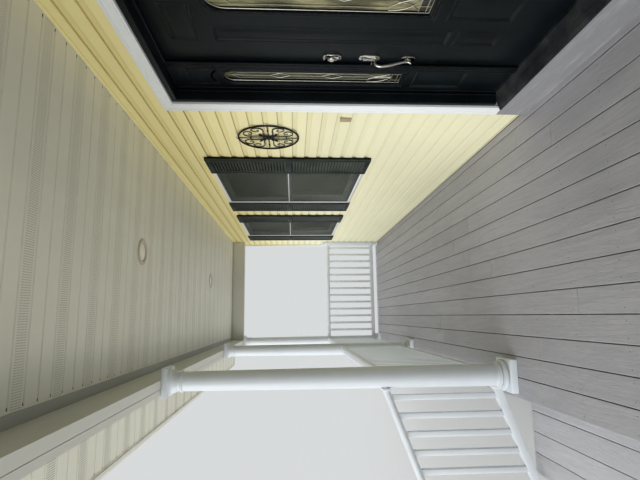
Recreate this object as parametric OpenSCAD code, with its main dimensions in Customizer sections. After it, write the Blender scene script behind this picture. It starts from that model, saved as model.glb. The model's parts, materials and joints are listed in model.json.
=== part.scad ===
// Front porch with the house front that it stands against, millimetres
// X runs along the porch, right as seen from the yard. Y runs from the steps to the house, Z is up.
// The origin is on the ground, under the middle of the porch and on the axis of the front door.

/* [Steps and deck] */
// Height of each of the three risers
riser_h = 178; // [150:1:200]
// Depth of the deck, from the house wall to the nosing
deck_depth = 1921; // [1500:1:2400]
// How far the deck runs past the column axes, in front and at both ends
deck_past_column = 147; // [125:1:220]
// Width of a deck board
board_w = 140; // [100:1:180]
// Gap between deck boards
board_gap = 3; // [2:0.5:8]
// Thickness of a deck board
board_t = 25; // [19:1:38]
// How far each nosing stands out over its riser
nosing = 25; // [10:1:35]
// Thickness of riser, skirt and kick boards
trim_t = 19; // [12:1:25]
// Boards on the landing, the upper of the two steps
landing_boards = 4; // [2:1:6]
// Boards on the lower step
tread_boards = 3; // [2:1:5]
// How far the steps run past the axes of the two columns beside them
step_past_column = 91; // [70:1:130]
// Depth of the joists under the deck
joist_h = 184; // [140:1:240]
// Thickness of framing timber
joist_t = 38; // [30:1:50]
// Distance between joists
joist_pitch = 406; // [300:1:610]
// Diameter of the concrete piers
pier_d = 200; // [140:1:205]

/* [Columns] */
// Distance between the two columns beside the steps
door_bay = 2888; // [2500:1:3400]
// Distance from those columns to the next ones
mid_bay = 2816; // [2000:1:3400]
// Distance from there to the corner columns
end_bay = 2290; // [1800:1:3000]
// Height of a column, deck to beam
column_h = 2438; // [2200:1:3000]
// Diameter of the shaft at its foot
shaft_foot_d = 152; // [130:1:200]
// Diameter of the shaft at its neck
shaft_neck_d = 129; // [110:1:150]
// Side of the square plinth
plinth_w = 228; // [200:1:250]
// Height of the plinth
plinth_h = 52; // [30:1:80]
// Side of the square abacus
abacus_w = 200; // [180:1:240]
// Height of the abacus
abacus_h = 40; // [25:1:60]

/* [Railings] */
// Height of the top rail above the deck
guard_h = 940; // [860:1:1100]
// Width of the top rail
top_rail_w = 84; // [60:1:100]
// Height of the top rail
top_rail_h = 50; // [40:1:70]
// Width of the bottom rail
bottom_rail_w = 50; // [40:1:60]
// Height of the bottom rail
bottom_rail_h = 62; // [40:1:80]
// Height of the bottom rail's lower edge above the deck
rail_foot = 85; // [60:1:110]
// Side of a square baluster
baluster_w = 38; // [25:1:45]
// Largest distance between baluster axes
baluster_pitch = 125; // [100:1:140]
// Side of the newel posts
newel_w = 102; // [90:1:140]
// How far the brackets stand out round the ends of the rails
bracket_edge = 5; // [3:1:8]

/* [Beam, ceiling and roof] */
// Width of the beam
beam_w = 152; // [120:1:200]
// How far the lower part of the beam stands back under the ceiling's edge
beam_ledge = 54; // [0:1:70]
// How far that ledge hangs below the ceiling
ledge_drop = 6; // [3:1:20]
// Height of the ceiling above the deck
ceiling_h = 2650; // [2550:1:3300]
// Thickness of ceiling and soffit panels
panel_t = 12; // [8:1:20]
// How far the beam runs up behind the ceiling
beam_rise = 90; // [50:1:110]
// Depth of the soffit in front of the beam
soffit_d = 353; // [200:1:500]
// Height of the fascia
fascia_h = 190; // [150:1:260]
// Slope of the roof in degrees
roof_slope = 18.5; // [12:0.5:26]
// Thickness of the roof deck with its shingles
roof_t = 32; // [20:1:50]
// Depth of the rafters that carry the roof's ends
rafter_h = 89; // [70:1:110]
// How far the roof runs past the house corners
roof_past_corner = 67; // [40:1:120]
// Width of the gutter at its lip
gutter_w = 127; // [100:1:150]
// Width of the strips between the grooves of ceiling and soffit
strip_w = 108.4; // [80:0.1:150]
// Depth of those grooves
groove_d = 9; // [4:1:12]
// Height of a shingle course that shows, measured in plan
shingle_run = 136; // [100:1:200]
// Thickness of a shingle course at its butt
shingle_t = 7; // [3:1:10]
// Height of the gutter
gutter_h = 100; // [80:1:130]
// Thickness of the gutter's sheet
gutter_t = 3; // [2:0.5:4]

/* [House wall] */
// Thickness of the wall
wall_t = 138; // [115:1:180]
// How far the wall runs past the corner columns
wall_past_column = 333; // [260:1:500]
// How far the wall runs up past the roof
wall_past_roof = 170; // [80:1:400]
// Width of the corner boards
corner_board_w = 90; // [60:1:140]
// Height of a siding course
course_h = 102.5; // [90:0.5:130]
// Height of a course's flat face, under its cove
course_face_h = 64; // [50:1:72]
// Depth of that cove
cove_d = 10; // [4:1:12]

/* [Front door] */
// Width of the door leaf
door_w = 1067; // [860:1:1100]
// Height of the door leaf
door_h = 2032; // [1980:1:2050]
// Thickness of the door leaf
door_t = 45; // [40:1:55]
// Gap round the door leaf
door_gap = 5; // [5:0.5:6]
// Height of the door's lower edge above the deck
door_rise = 240; // [220:1:260]
// How far the door's face stands behind the wall's face
door_recess = 93; // [70:1:110]
// Width of a sidelight
sidelight_w = 254; // [230:1:300]
// Width of the posts between door and sidelights
mullion_w = 45; // [38:1:60]
// Thickness of the side and head jambs
jamb_t = 32; // [25:1:40]
// How far the door stops stand into the doorway
stop_w = 12; // [8:1:15]
// How far the posts beside the door stand in front of its face
post_front = 20; // [12:1:60]
// Width of the side casings
casing_w = 84; // [60:1:110]
// Height of the head casing
casing_head_h = 68; // [50:1:100]
// How far casings and frames stand out from the wall
casing_t = 22; // [15:1:30]
// Width of the glass in the door
door_glass_w = 198; // [150:1:220]
// Width of the glass in a sidelight
side_glass_w = 132; // [100:1:140]
// Height of the glass above the door's lower edge
glass_rise = 649; // [600:1:700]
// Height of the glass, to the crown of its arch
glass_h = 1079; // [900:1:1120]
// Thickness of the glass units
glass_t = 16; // [10:1:24]
// Width of the raised band round the glass
light_band_w = 22; // [12:1:26]
// How far that band stands out from the door's face
light_band_t = 5; // [2:1:6]
// Width of the sunk border round a raised panel
panel_border = 18; // [12:1:24]
// Depth of that border
panel_sink = 8; // [4:1:10]
// Height of the lowest door panels above the door's lower edge
low_panel_rise = 225; // [150:1:260]
// Width of the panel under the door's glass
low_panel_w = 270; // [200:1:320]
// Height of the panel under the door's glass
low_panel_h = 335; // [200:1:380]
// Height of the low panels beside it
side_panel_h = 235; // [150:1:245]
// Width of the panels beside the door's glass
side_panel_w = 130; // [100:1:150]
// Distance from the door's axis to the axes of those panels
side_panel_x = 280; // [260:1:300]
// Width of the two top panels
top_panel_w = 300; // [200:1:310]
// Height of the two top panels
top_panel_h = 150; // [100:1:155]
// Width of the rails between panels, and over the top ones
door_rail = 30; // [20:1:40]
// Distance from the top panels to the door's upper edge
top_rail = 92; // [60:1:120]
// Width of the sidelight panels
light_panel_w = 190; // [120:1:200]
// Height of the lower sidelight panel
light_panel_h = 318; // [200:1:340]
// Distance from the door's edge to the axis of lock and grip
backset = 60; // [50:1:70]
// Height of the grip's lower plate above the door's lower edge
grip_rise = 663; // [600:1:760]
// Length of the grip, lower plate to thumb plate
grip_h = 220; // [150:1:260]
// Distance from thumb plate to deadbolt
bolt_rise = 209; // [140:1:240]

/* [Windows and shutters] */
// Width of a window
window_w = 1180; // [800:1:1200]
// Height of a window
window_h = 1415; // [1000:1:1500]
// Height of the windows' lower edge above the deck
window_rise = 885; // [700:1:1000]
// Distance from the door's axis to the inner windows' axes
inner_window_x = 2860; // [2800:1:2900]
// Distance from the door's axis to the outer windows' axes
outer_window_x = 5154; // [5100:1:5200]
// Width of the window frame, from wall to sash
frame_w = 45; // [40:1:60]
// Width of the frame's face round the insect screen
frame_face_w = 27; // [20:1:32]
// Width of the screen's frame
screen_frame_w = 15; // [10:1:20]
// Thickness of the screen's frame
screen_t = 8; // [6:1:12]
// Width of the sash stiles
stile_w = 38; // [30:1:50]
// Thickness of a sash
sash_t = 30; // [25:1:35]
// Thickness of the window panes
pane_t = 12; // [6:1:20]
// Width of a shutter
shutter_w = 375; // [250:1:400]
// Thickness of a shutter
shutter_t = 30; // [24:1:40]
// How far a shutter runs past the window, above and below
shutter_past = 6; // [0:1:40]
// Width of the shutters' frame
shutter_frame_w = 46; // [40:1:70]
// Height of the rail between a shutter's two louvred panels
shutter_rail_h = 52; // [40:1:80]
// Height of one louvre
louvre_h = 32.5; // [28:0.5:60]

/* [Fittings] */
// Diameter of the ceiling lights
light_d = 196; // [150:1:300]
// Diameter of the well in the lights' trim
light_well_d = 132; // [100:1:140]
// How far the lights' trim stands out from the ceiling
light_drop = 9; // [7:1:20]
// Distance from the wall to the lights' axes
light_from_wall = 866; // [700:1:1000]
// How far each light stands outside the column line beside it
light_past_column = 50; // [0:1:120]
// Diameter of the wall ornament's ring
ring_d = 465; // [300:1:520]
// Distance from the door's axis to the ornament's axis
ring_x = 1440; // [1400:1:1480]
// Height of the ornament's centre above the deck
ring_rise = 1737; // [1500:1:1900]
// Distance from the door's axis to the doorbell
bell_x = 1100; // [1050:1:1150]
// Height of the doorbell above the deck
bell_rise = 1188; // [1050:1:1300]

/* [Hidden] */

// Fineness of round shapes
$fn = 48;
// Clearance where a piece seats on a round or loose one
seat = 0.3;
// Overshoot of cuts
cut = 1;

board_pitch = board_w + board_gap;
deck_z = 3 * riser_h;
landing_z = 2 * riser_h;
tread_z = riser_h;
landing_run = landing_boards * board_pitch - board_gap - nosing;
tread_run = tread_boards * board_pitch - board_gap - nosing;
total_d = wall_t + deck_depth + landing_run + tread_run;
wall_y = total_d / 2 - wall_t;
back_y = total_d / 2;
deck_y = wall_y - deck_depth;
landing_y = deck_y - landing_run;
tread_y = landing_y - tread_run;
column_y = deck_y + deck_past_column;
inner_x = door_bay / 2;
middle_x = inner_x + mid_bay;
corner_x = middle_x + end_bay;
deck_x = corner_x + deck_past_column;
step_x = inner_x + step_past_column;
wall_x = corner_x + wall_past_column;
roof_x = wall_x + roof_past_corner;

frame_z = deck_z - board_t - joist_h;
skirt_count = floor((deck_z - board_t - 20) / board_pitch);

beam_z = deck_z + column_h;
ceiling_z = deck_z + ceiling_h;
beam_top = ceiling_z + beam_rise;
ledge_z = ceiling_z - ledge_drop;
beam_y = column_y - beam_w / 2;
beam_x = corner_x + beam_w / 2;
fascia_drop = 10;
fascia_back = beam_y - soffit_d;
fascia_y = fascia_back - trim_t;
fascia_top = ceiling_z - fascia_drop + fascia_h;
roof_rise = tan(roof_slope);
eave_drip = 40;
eave_y = fascia_y - eave_drip;
flat_rafter = rafter_h / cos(roof_slope);
flat_roof = roof_t / cos(roof_slope);
flat_shingle = shingle_t / cos(roof_slope);
wall_top = roof_under(wall_y) + flat_roof + wall_past_roof;
groove_r = 6.5;
groove_shift = -8;
course_z = deck_z + 22;
course_lean = 2;
cove_h = 16;
gable_t = 30;

door_z = deck_z + door_rise;
door_y = wall_y + door_recess;
door_top = door_z + door_h;
leaf_x = door_w / 2;
post_x = leaf_x + door_gap;
side_x = post_x + mullion_w;
jamb_x = side_x + sidelight_w;
opening_x = jamb_x + jamb_t;
head_z = door_top + door_gap;
opening_top = head_z + jamb_t;
sill_t = 45;
sill_z = door_z - door_gap - sill_t;
sill_back_z = door_z - door_gap;
sill_fall = 32;
casing_top = opening_top + casing_head_h;

window_z = deck_z + window_rise;
window_xs = [-outer_window_x, -inner_window_x, inner_window_x, outer_window_x];
column_top_z = column_h - abacus_h;
echinus_h = 66;
neck_z = column_top_z - echinus_h - 20;

// Underside of the roof over a place in Y
function roof_under(y) = fascia_top + (y - fascia_y) * roof_rise;

// Radius of the shaft at a height, swelling gently towards the foot
function shaft_r(z) = shaft_foot_d / 2 - (shaft_foot_d - shaft_neck_d) / 2 * pow(max(z, 0) / column_h, 1.6);

module block(low, high) {
    translate(low) cube(high - low);
}

module both_sides() {
    children();
    mirror([1, 0, 0]) children();
}

// A flat profile in Y and Z, extruded along X
module along_x(x0, x1) {
    translate([x0, 0, 0]) rotate([90, 0, 90]) linear_extrude(x1 - x0) children();
}

// A flat profile in X and Z, extruded along Y
module along_y(y0, y1) {
    translate([0, y1, 0]) rotate([90, 0, 0]) linear_extrude(y1 - y0) children();
}

module foundation() {
    color("lightgray") {
        block([-wall_x + 12, wall_y + 15, 0], [wall_x - 12, back_y, deck_z - board_t]);
        block([-opening_x, wall_y, deck_z - board_t], [opening_x, back_y, sill_z]);
    }
}

module deck_piers() {
    color("gray") both_sides() for (x = [inner_x, middle_x, corner_x])
        translate([x, column_y, 0]) cylinder(d = pier_d, h = frame_z);
}

module deck_frame() {
    front = deck_y + nosing + trim_t;
    side = deck_x - nosing - trim_t;
    top = deck_z - board_t;
    count = floor((2 * side - joist_t) / joist_pitch);
    step = (2 * side - joist_t) / count;
    color("tan") {
        block([-side, front, frame_z], [side, front + joist_t, top]);
        block([-side, wall_y - joist_t, frame_z], [side, wall_y, top]);
        for (i = [0 : count])
            block([-side + i * step, front, frame_z], [-side + i * step + joist_t, wall_y, top]);
    }
}

module deck_boards() {
    count = ceil(deck_depth / board_pitch);
    color("slategray") for (i = [0 : count - 1]) {
        front = deck_y + i * board_pitch;
        back = min(front + board_w, wall_y);
        block([-deck_x, front, deck_z - board_t], [deck_x, back, deck_z]);
    }
}

// Boards that close the space under the deck
module skirt_boards() {
    front = deck_y + nosing;
    side = deck_x - nosing;
    color("slategray") both_sides() for (i = [0 : skirt_count - 1]) {
        top = deck_z - board_t - i * board_pitch;
        block([step_x, front, top - board_w], [side - trim_t - board_gap, front + trim_t, top]);
        block([side - trim_t, front, top - board_w], [side, wall_y, top]);
    }
}

// Posts that carry the skirt boards, on the ground below the joists
module skirt_posts() {
    front = deck_y + nosing + trim_t;
    side = deck_x - nosing - trim_t;
    last = corner_x - pier_d;
    count = ceil((last - step_x) / (3 * joist_pitch));
    run = (last - step_x) / count;
    color("tan") both_sides() {
        for (i = [0 : count])
            block([step_x + i * run, front, 0], [step_x + i * run + joist_t, front + joist_t, frame_z]);
        for (y = [column_y + pier_d / 2 + joist_t, (front + wall_y) / 2, wall_y - joist_t])
            block([side - joist_t, y, 0], [side, y + joist_t, frame_z]);
    }
}

// Joists under a step, with a board at each end
module step_frame(front, back, top) {
    half = step_x - nosing;
    count = ceil((2 * half - joist_t) / joist_pitch);
    step = (2 * half - joist_t) / count;
    block([-half, back - joist_t, 0], [half, back, top]);
    block([-half, front, 0], [half, front + joist_t, top]);
    for (i = [0 : count])
        block([-half + i * step, front, 0], [-half + i * step + joist_t, back, top]);
}

module landing_frame() {
    back = deck_y + nosing + trim_t;
    color("slategray") step_frame(landing_y + nosing + trim_t, back, landing_z - board_t);
}

module tread_frame() {
    color("slategray") step_frame(tread_y + nosing + trim_t, landing_y + nosing, tread_z - board_t);
}

module step_boards() {
    color("slategray") {
        for (i = [0 : landing_boards - 1])
            block([-step_x, landing_y + i * board_pitch, landing_z - board_t],
                [step_x, landing_y + i * board_pitch + board_w, landing_z]);
        for (i = [0 : tread_boards - 1])
            block([-step_x, tread_y + i * board_pitch, tread_z - board_t],
                [step_x, tread_y + i * board_pitch + board_w, tread_z]);
    }
}

module riser(front, low, high) {
    block([-step_x + nosing, front + nosing, low], [step_x - nosing, front + nosing + trim_t, high]);
}

module risers() {
    color("slategray") {
        riser(deck_y, landing_z, deck_z - board_t);
        riser(landing_y, tread_z, landing_z - board_t);
        riser(tread_y, 0, tread_z - board_t);
    }
}

// The shaft from deck to beam, thickened by a clearance where it cuts the rails
module shaft(clear) {
    steps = 12;
    points = [for (i = [0 : steps]) let (z = column_h * i / steps) [shaft_r(z) + clear, z]];
    rotate_extrude() polygon(concat([[0, 0]], points, [[0, column_h]]));
}

// A ring with a round edge, standing on z
module ring(z, h, r) {
    translate([0, 0, z]) rotate_extrude() {
        square([r - h / 2, h]);
        translate([r - h / 2, h / 2]) circle(d = h);
    }
}

// The two rings at the foot of a column, thickened where they cut the rails
module base_rings(clear) {
    ring(plinth_h - clear, 34 + 2 * clear, plinth_w / 2 - 4 + clear);
    ring(plinth_h + 34 - clear, 22 + 2 * clear, shaft_foot_d / 2 + 14 + clear);
}

// What a railing is cut to where it butts against a column
module column_cut() {
    shaft(seat);
    base_rings(seat);
}

module column() {
    translate([0, column_y, deck_z]) {
        translate([-plinth_w / 2, -plinth_w / 2, 0]) cube([plinth_w, plinth_w, plinth_h]);
        base_rings(0);
        shaft(0);
        ring(neck_z, 14, shaft_r(neck_z) + 9);
        echinus();
        translate([-abacus_w / 2, -abacus_w / 2, column_top_z]) cube([abacus_w, abacus_w, abacus_h]);
    }
}

// The round cushion under the abacus
module echinus() {
    low = column_top_z - echinus_h;
    r0 = shaft_r(low) + 4;
    r1 = abacus_w / 2 - 6;
    sweep = [for (a = [0 : 15 : 90]) [r0 + (r1 - r0) * (1 - cos(a)), low + echinus_h * sin(a)]];
    rotate_extrude() polygon(concat([[0, low]], sweep, [[0, column_top_z]]));
}

module column_at(x) {
    color("white") translate([x, 0, 0]) column();
}

// Section of a top rail, its crown rounded, with its top edge on the axis
module top_rail_profile() {
    r = 14;
    half = top_rail_w / 2;
    translate([-half, -top_rail_h + 14]) square([top_rail_w, top_rail_h - 14 - r]);
    translate([-half + r, -r]) circle(r = r);
    translate([half - r, -r]) circle(r = r);
    translate([-half + r, -r - cut]) square([top_rail_w - 2 * r, r + cut]);
    translate([-bottom_rail_w / 2, -top_rail_h]) square([bottom_rail_w, top_rail_h - r]);
}

// A level railing along X in its own frame, between two places, on y = 0
module level_rail(x0, x1) {
    count = ceil((x1 - x0) / baluster_pitch);
    pitch = (x1 - x0) / count;
    foot = rail_foot + bottom_rail_h;
    translate([x0, 0, guard_h]) rotate([90, 0, 90]) linear_extrude(x1 - x0) top_rail_profile();
    block([x0, -bottom_rail_w / 2, rail_foot], [x1, bottom_rail_w / 2, foot]);
    for (i = [0 : count - 1]) {
        x = x0 + (i + 0.5) * pitch;
        block([x - baluster_w / 2, -baluster_w / 2, foot - cut],
            [x + baluster_w / 2, baluster_w / 2, guard_h - top_rail_h + cut]);
    }
}

// Collars round the ends of both rails, at a place on the railing's axis
module brackets(x) {
    half = top_rail_w / 2 + bracket_edge;
    low = bottom_rail_w / 2 + bracket_edge;
    block([x, -half, guard_h - top_rail_h - bracket_edge], [x + 28, half, guard_h + bracket_edge]);
    block([x, -low, rail_foot - bracket_edge], [x + 28, low, rail_foot + bottom_rail_h + bracket_edge]);
}

// A railing between two column axes, cut to the shafts that it butts against
module front_rail(x0, x1) {
    reach = shaft_foot_d / 2 + 10;
    color("white") translate([0, column_y, deck_z]) difference() {
        union() {
            level_rail(x0, x1);
            brackets(x0 + reach - 28);
            brackets(x1 - reach);
        }
        for (x = [x0, x1]) translate([x, 0, 0]) column_cut();
    }
}

// A railing from a corner column back to the post on the wall
module end_rail(x) {
    length = wall_y - newel_w / 2 - column_y;
    color("white") translate([x, column_y, deck_z]) difference() {
        rotate(90) {
            level_rail(0, length);
            brackets(shaft_foot_d / 2 - 18);
        }
        column_cut();
    }
}

module wall_posts() {
    color("white") both_sides()
        translate([corner_x, wall_y - newel_w / 4, deck_z]) post(newel_w, newel_w / 2, guard_h + 60);
}

// A square post with a flat cap and a collar at its foot
module post(w, d, h) {
    cap = 10;
    block([-w / 2, -d / 2, 0], [w / 2, d / 2, h]);
    block([-w / 2 - cap, -d / 2 - cap, h], [w / 2 + cap, d / 2, h + 18]);
    block([-w / 2 - cap, -d / 2 - cap, 0], [w / 2 + cap, d / 2, 24]);
}

stair_slope = 2 * riser_h / (landing_run + tread_run);
stair_foot = 60;
stair_rail_h = 850;
newel_y = tread_y + nosing + newel_w / 2 + 20;

// Height of the stair railing's lower edge at a place in Y
function stair_z(y) = deck_z + stair_foot + (y - deck_y) * stair_slope;

// A bar that follows the stair's slope between two places in Y
module sloping_bar(y0, y1, rise, h) {
    polygon([[y0, stair_z(y0) + rise], [y1, stair_z(y1) + rise],
        [y1, stair_z(y1) + rise + h], [y0, stair_z(y0) + rise + h]]);
}

module stair_rail(x) {
    y0 = newel_y + newel_w / 2;
    y1 = column_y;
    top = stair_rail_h - top_rail_h;
    run = y1 - y0 - shaft_foot_d / 2;
    count = ceil(run / baluster_pitch);
    color("white") difference() {
        union() {
            along_x(x - bottom_rail_w / 2, x + bottom_rail_w / 2) {
                sloping_bar(y0, y1, 0, bottom_rail_h);
                sloping_bar(y0, y1, top, top_rail_h - 14);
            }
            along_x(x - top_rail_w / 2, x + top_rail_w / 2) sloping_bar(y0, y1, top + 14, top_rail_h - 28);
            along_x(x - top_rail_w / 2 + 12, x + top_rail_w / 2 - 12)
                sloping_bar(y0, y1, top + 14, top_rail_h - 14);
            for (i = [0 : count - 1]) {
                y = y0 + (i + 0.5) * run / count;
                block([x - baluster_w / 2, y - baluster_w / 2, stair_z(y) + bottom_rail_h - 12],
                    [x + baluster_w / 2, y + baluster_w / 2, stair_z(y) + top + 12]);
            }
        }
        translate([x, column_y, deck_z]) column_cut();
    }
}

module stair_newels() {
    h = stair_z(newel_y) + stair_rail_h + 60 - tread_z;
    color("white") both_sides() translate([inner_x, newel_y, tread_z]) {
        post(newel_w, newel_w, h);
        block([-newel_w / 2 - 10, newel_w / 2, h], [newel_w / 2 + 10, newel_w / 2 + 10, h + 18]);
        block([-newel_w / 2 - 10, newel_w / 2, 0], [newel_w / 2 + 10, newel_w / 2 + 10, 24]);
    }
}

// Section of the beam's lower part, with the line of its face board in the underside
module beam_foot() {
    face = 38;
    line = 4;
    difference() {
        square([beam_w - beam_ledge, ledge_z - beam_z]);
        translate([face, -cut]) square([line, line + cut]);
    }
}

// The whole section, with the ledge that the ceiling's edge runs against
module beam_profile() {
    beam_foot();
    translate([0, ledge_z - beam_z]) square([beam_w, beam_top - ledge_z]);
}

module beam_front() {
    color("white") along_x(-beam_x, beam_x) translate([beam_y, beam_z]) beam_profile();
}

module beam_ends() {
    color("white") both_sides() {
        along_y(beam_y + beam_w, wall_y) translate([beam_x, beam_z]) mirror([1, 0]) beam_profile();
        along_y(beam_y + beam_w - beam_ledge, wall_y) translate([beam_x, beam_z]) mirror([1, 0]) beam_foot();
    }
}

// Section of a panel with V grooves in its underside, from x0 to x1, with its face at z
module grooved_panel(x0, x1, z) {
    depth = min(groove_d, panel_t - 3);
    first = ceil((x0 + 2 * groove_r - groove_shift) / strip_w);
    last = floor((x1 - 2 * groove_r - groove_shift) / strip_w);
    polygon(concat([[x0, z + panel_t], [x0, z]],
        [for (i = [first : last]) let (x = groove_shift + i * strip_w)
            each [[x - groove_r, z], [x, z + depth], [x + groove_r, z]]],
        [[x1, z], [x1, z + panel_t]]));
}

module ceiling() {
    inside = beam_x - beam_w;
    color("ivory") along_y(beam_y + beam_w, wall_y) grooved_panel(-inside, inside, ceiling_z);
}

// Flat soffit at the eave, with the upright return and the sloping soffits under the roof's ends
module soffit() {
    edge = roof_x - trim_t;
    back = beam_y + trim_t;
    color("ivory") {
        along_y(fascia_back, beam_y) grooved_panel(-edge, edge, ceiling_z);
        both_sides() along_x(beam_x, edge) polygon([
            [beam_y - panel_t, ceiling_z], [back, ceiling_z],
            [back, roof_under(back) - flat_rafter - panel_t],
            [wall_y, roof_under(wall_y) - flat_rafter - panel_t],
            [wall_y, roof_under(wall_y) - flat_rafter],
            [beam_y, roof_under(beam_y) - flat_rafter],
            [beam_y, ceiling_z + panel_t], [beam_y - panel_t, ceiling_z + panel_t]]);
    }
}

module fascia() {
    low = ceiling_z - fascia_drop;
    color("ivory") along_x(-roof_x + trim_t, roof_x - trim_t) polygon([
        [fascia_y, low], [fascia_back, low],
        [fascia_back, roof_under(fascia_back)], [fascia_y, fascia_top]]);
}

// Sloping boards at the roof's ends, with the short return that closes the eave
module rake_boards() {
    low = ceiling_z - fascia_drop;
    back = beam_y + trim_t;
    color("ivory") both_sides() along_x(roof_x - trim_t, roof_x) polygon([
        [fascia_y, low], [back, low], [back, roof_under(back) - flat_rafter - panel_t],
        [wall_y, roof_under(wall_y) - flat_rafter - panel_t], [wall_y, roof_under(wall_y)],
        [fascia_y, fascia_top]]);
}

// Outline of the gutter's front, from the bottom's edge up to the lip, set in by a thickness
function gutter_front(inset) = let (foot = gutter_w * 0.57, lip = gutter_h * 0.16) concat(
    [[-foot + inset, -gutter_h + inset], [-foot - 4 + inset, -gutter_h * 0.72]],
    [for (a = [0 : 15 : 90]) [-foot - 4 + inset - (gutter_w - foot - 4) * (1 - cos(a)),
        -gutter_h * 0.72 + (gutter_h * 0.72 - lip) * sin(a)]]);

module gutter() {
    color("ivory") translate([0, fascia_y, fascia_top - 16]) {
        along_x(-roof_x + trim_t, roof_x - trim_t) difference() {
            polygon(concat([[0, 0], [0, -gutter_h]], gutter_front(0), [[-gutter_w, 0]]));
            polygon(concat([[-gutter_t, cut], [-gutter_t, -gutter_h + gutter_t]],
                gutter_front(gutter_t), [[-gutter_w + gutter_t, cut]]));
        }
        both_sides() along_x(roof_x - trim_t - gutter_t, roof_x - trim_t)
            polygon(concat([[0, 0], [0, -gutter_h]], gutter_front(0), [[-gutter_w, 0]]));
    }
}

// The roof deck with its shingles, whose courses lap like steps
module roof() {
    count = ceil((wall_y - eave_y) / shingle_run);
    base = flat_roof - flat_shingle;
    color("dimgray") along_x(-roof_x, roof_x) polygon(concat(
        [[eave_y, roof_under(eave_y)], [wall_y, roof_under(wall_y)]],
        [for (i = [count - 1 : -1 : 0])
            let (low = eave_y + i * shingle_run, high = min(low + shingle_run, wall_y))
            each [[high, roof_under(high) + base], [low, roof_under(low) + flat_roof]]]));
}

// Section of a sided wall: Dutch lap courses whose butts lie in its face at 0, cut off above a height
module courses(low, high, depth) {
    first = max(0, ceil((low - course_z) / course_h));
    last = floor((high - course_z) / course_h) - 1;
    foot = course_z + (last + 1) * course_h;
    polygon(concat([[depth, low], [0, low]],
        [for (i = [first : last]) let (z = course_z + i * course_h) each [
            [0, z], [course_lean, z + course_face_h],
            [cove_d, z + course_face_h + cove_h], [cove_d, z + course_h]]],
        [[0, foot], [0, high], [depth, high]]));
}

// Walls of the attic over the end beams
module gables() {
    color("khaki") both_sides() intersection() {
        along_x(beam_x - gable_t - cut, beam_x + cut) polygon([
            [beam_y + trim_t, beam_top], [wall_y, beam_top], [wall_y, roof_under(wall_y)],
            [beam_y + trim_t, roof_under(beam_y + trim_t)]]);
        along_y(beam_y, wall_y + cut) translate([beam_x, 0]) mirror([1, 0])
            courses(beam_top - cut, wall_top, gable_t);
    }
}

// Half of the house wall, from the door's opening to the corner
module half_wall() {
    difference() {
        along_x(opening_x, wall_x) translate([wall_y, 0]) courses(deck_z - board_t, wall_top, wall_t);
        for (x = [inner_window_x, outer_window_x])
            block([x - window_w / 2, wall_y - cut, window_z],
                [x + window_w / 2, back_y + cut, window_z + window_h]);
    }
}

module wall_right() {
    color("khaki") half_wall();
}

module wall_left() {
    color("khaki") mirror([1, 0, 0]) half_wall();
}

module wall_over_door() {
    color("khaki") along_x(-opening_x, opening_x) translate([wall_y, 0])
        courses(opening_top, wall_top, wall_t);
}

module corner_boards() {
    color("ivory") both_sides() difference() {
        block([wall_x - corner_board_w, wall_y - casing_t, deck_z], [wall_x, wall_y, wall_top]);
        along_x(wall_x - corner_board_w - cut, wall_x + cut) polygon([
            [eave_y, roof_under(eave_y) - flat_rafter - panel_t - seat],
            [wall_y + cut, roof_under(wall_y + cut) - flat_rafter - panel_t - seat],
            [wall_y + cut, roof_under(wall_y + cut) + flat_roof + seat],
            [eave_y, roof_under(eave_y) + flat_roof + seat]]);
    }
}

module kick_board() {
    half = opening_x + casing_w;
    color("slategray") block([-half, wall_y - casing_t, deck_z], [half, wall_y, sill_z]);
}

module door_sill() {
    color("black") along_x(-opening_x, opening_x) polygon([
        [wall_y - casing_t - 6, sill_z], [back_y, sill_z], [back_y, sill_back_z],
        [door_y - 12, sill_back_z], [wall_y - casing_t - 6, sill_back_z - sill_fall]]);
}

module door_casing() {
    half = opening_x + casing_w;
    color("white") difference() {
        block([-half, wall_y - casing_t, sill_z], [half, wall_y, casing_top]);
        block([-opening_x, wall_y - casing_t - cut, sill_z - cut], [opening_x, wall_y + cut, opening_top]);
    }
}

// One solid frame: deep jambs and head, two posts at the door's plane and a stop round the doorway
module door_frame() {
    color("black") difference() {
        block([-opening_x, wall_y, sill_back_z], [opening_x, back_y, opening_top]);
        block([-jamb_x, wall_y - cut, sill_back_z - cut], [jamb_x, door_y - post_front, head_z]);
        block([-post_x, door_y - door_gap, sill_back_z - cut], [post_x, back_y + cut, head_z]);
        block([-post_x + stop_w, wall_y - cut, sill_back_z - cut],
            [post_x - stop_w, door_y, head_z - stop_w]);
        both_sides() block([side_x, wall_y - cut, sill_back_z - cut], [jamb_x, back_y + cut, head_z]);
    }
}

// An arched shape in X and Z: a rectangle with a half round top
module arch(w, h) {
    translate([-w / 2, 0]) square([w, h - w / 2]);
    translate([0, h - w / 2]) circle(d = w);
}

// The sunk border that leaves a raised panel on the face of door or sidelight
module raised_panel(x, z, w, h) {
    difference() {
        block([x - w / 2, door_y - cut, z], [x + w / 2, door_y + panel_sink, z + h]);
        block([x - w / 2 + panel_border, door_y - 2 * cut, z + panel_border],
            [x + w / 2 - panel_border, door_y + panel_sink + cut, z + h - panel_border]);
    }
}

// Glass opening with a rebate behind it that the glass unit sits in
module glass_opening(w) {
    rebate = 8;
    translate([0, 0, door_z + glass_rise]) {
        along_y(door_y - light_band_t - cut, door_y + door_t + cut) arch(w, glass_h);
        along_y(door_y + 14, door_y + door_t + cut)
            translate([0, -rebate]) arch(w + 2 * rebate, glass_h + 2 * rebate);
    }
}

// The raised band round the glass, its inside left to the glass opening
module light_band(w) {
    translate([0, 0, door_z + glass_rise]) along_y(door_y - light_band_t, door_y + cut)
        translate([0, -light_band_w]) arch(w + 2 * light_band_w, glass_h + 2 * light_band_w);
}

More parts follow.
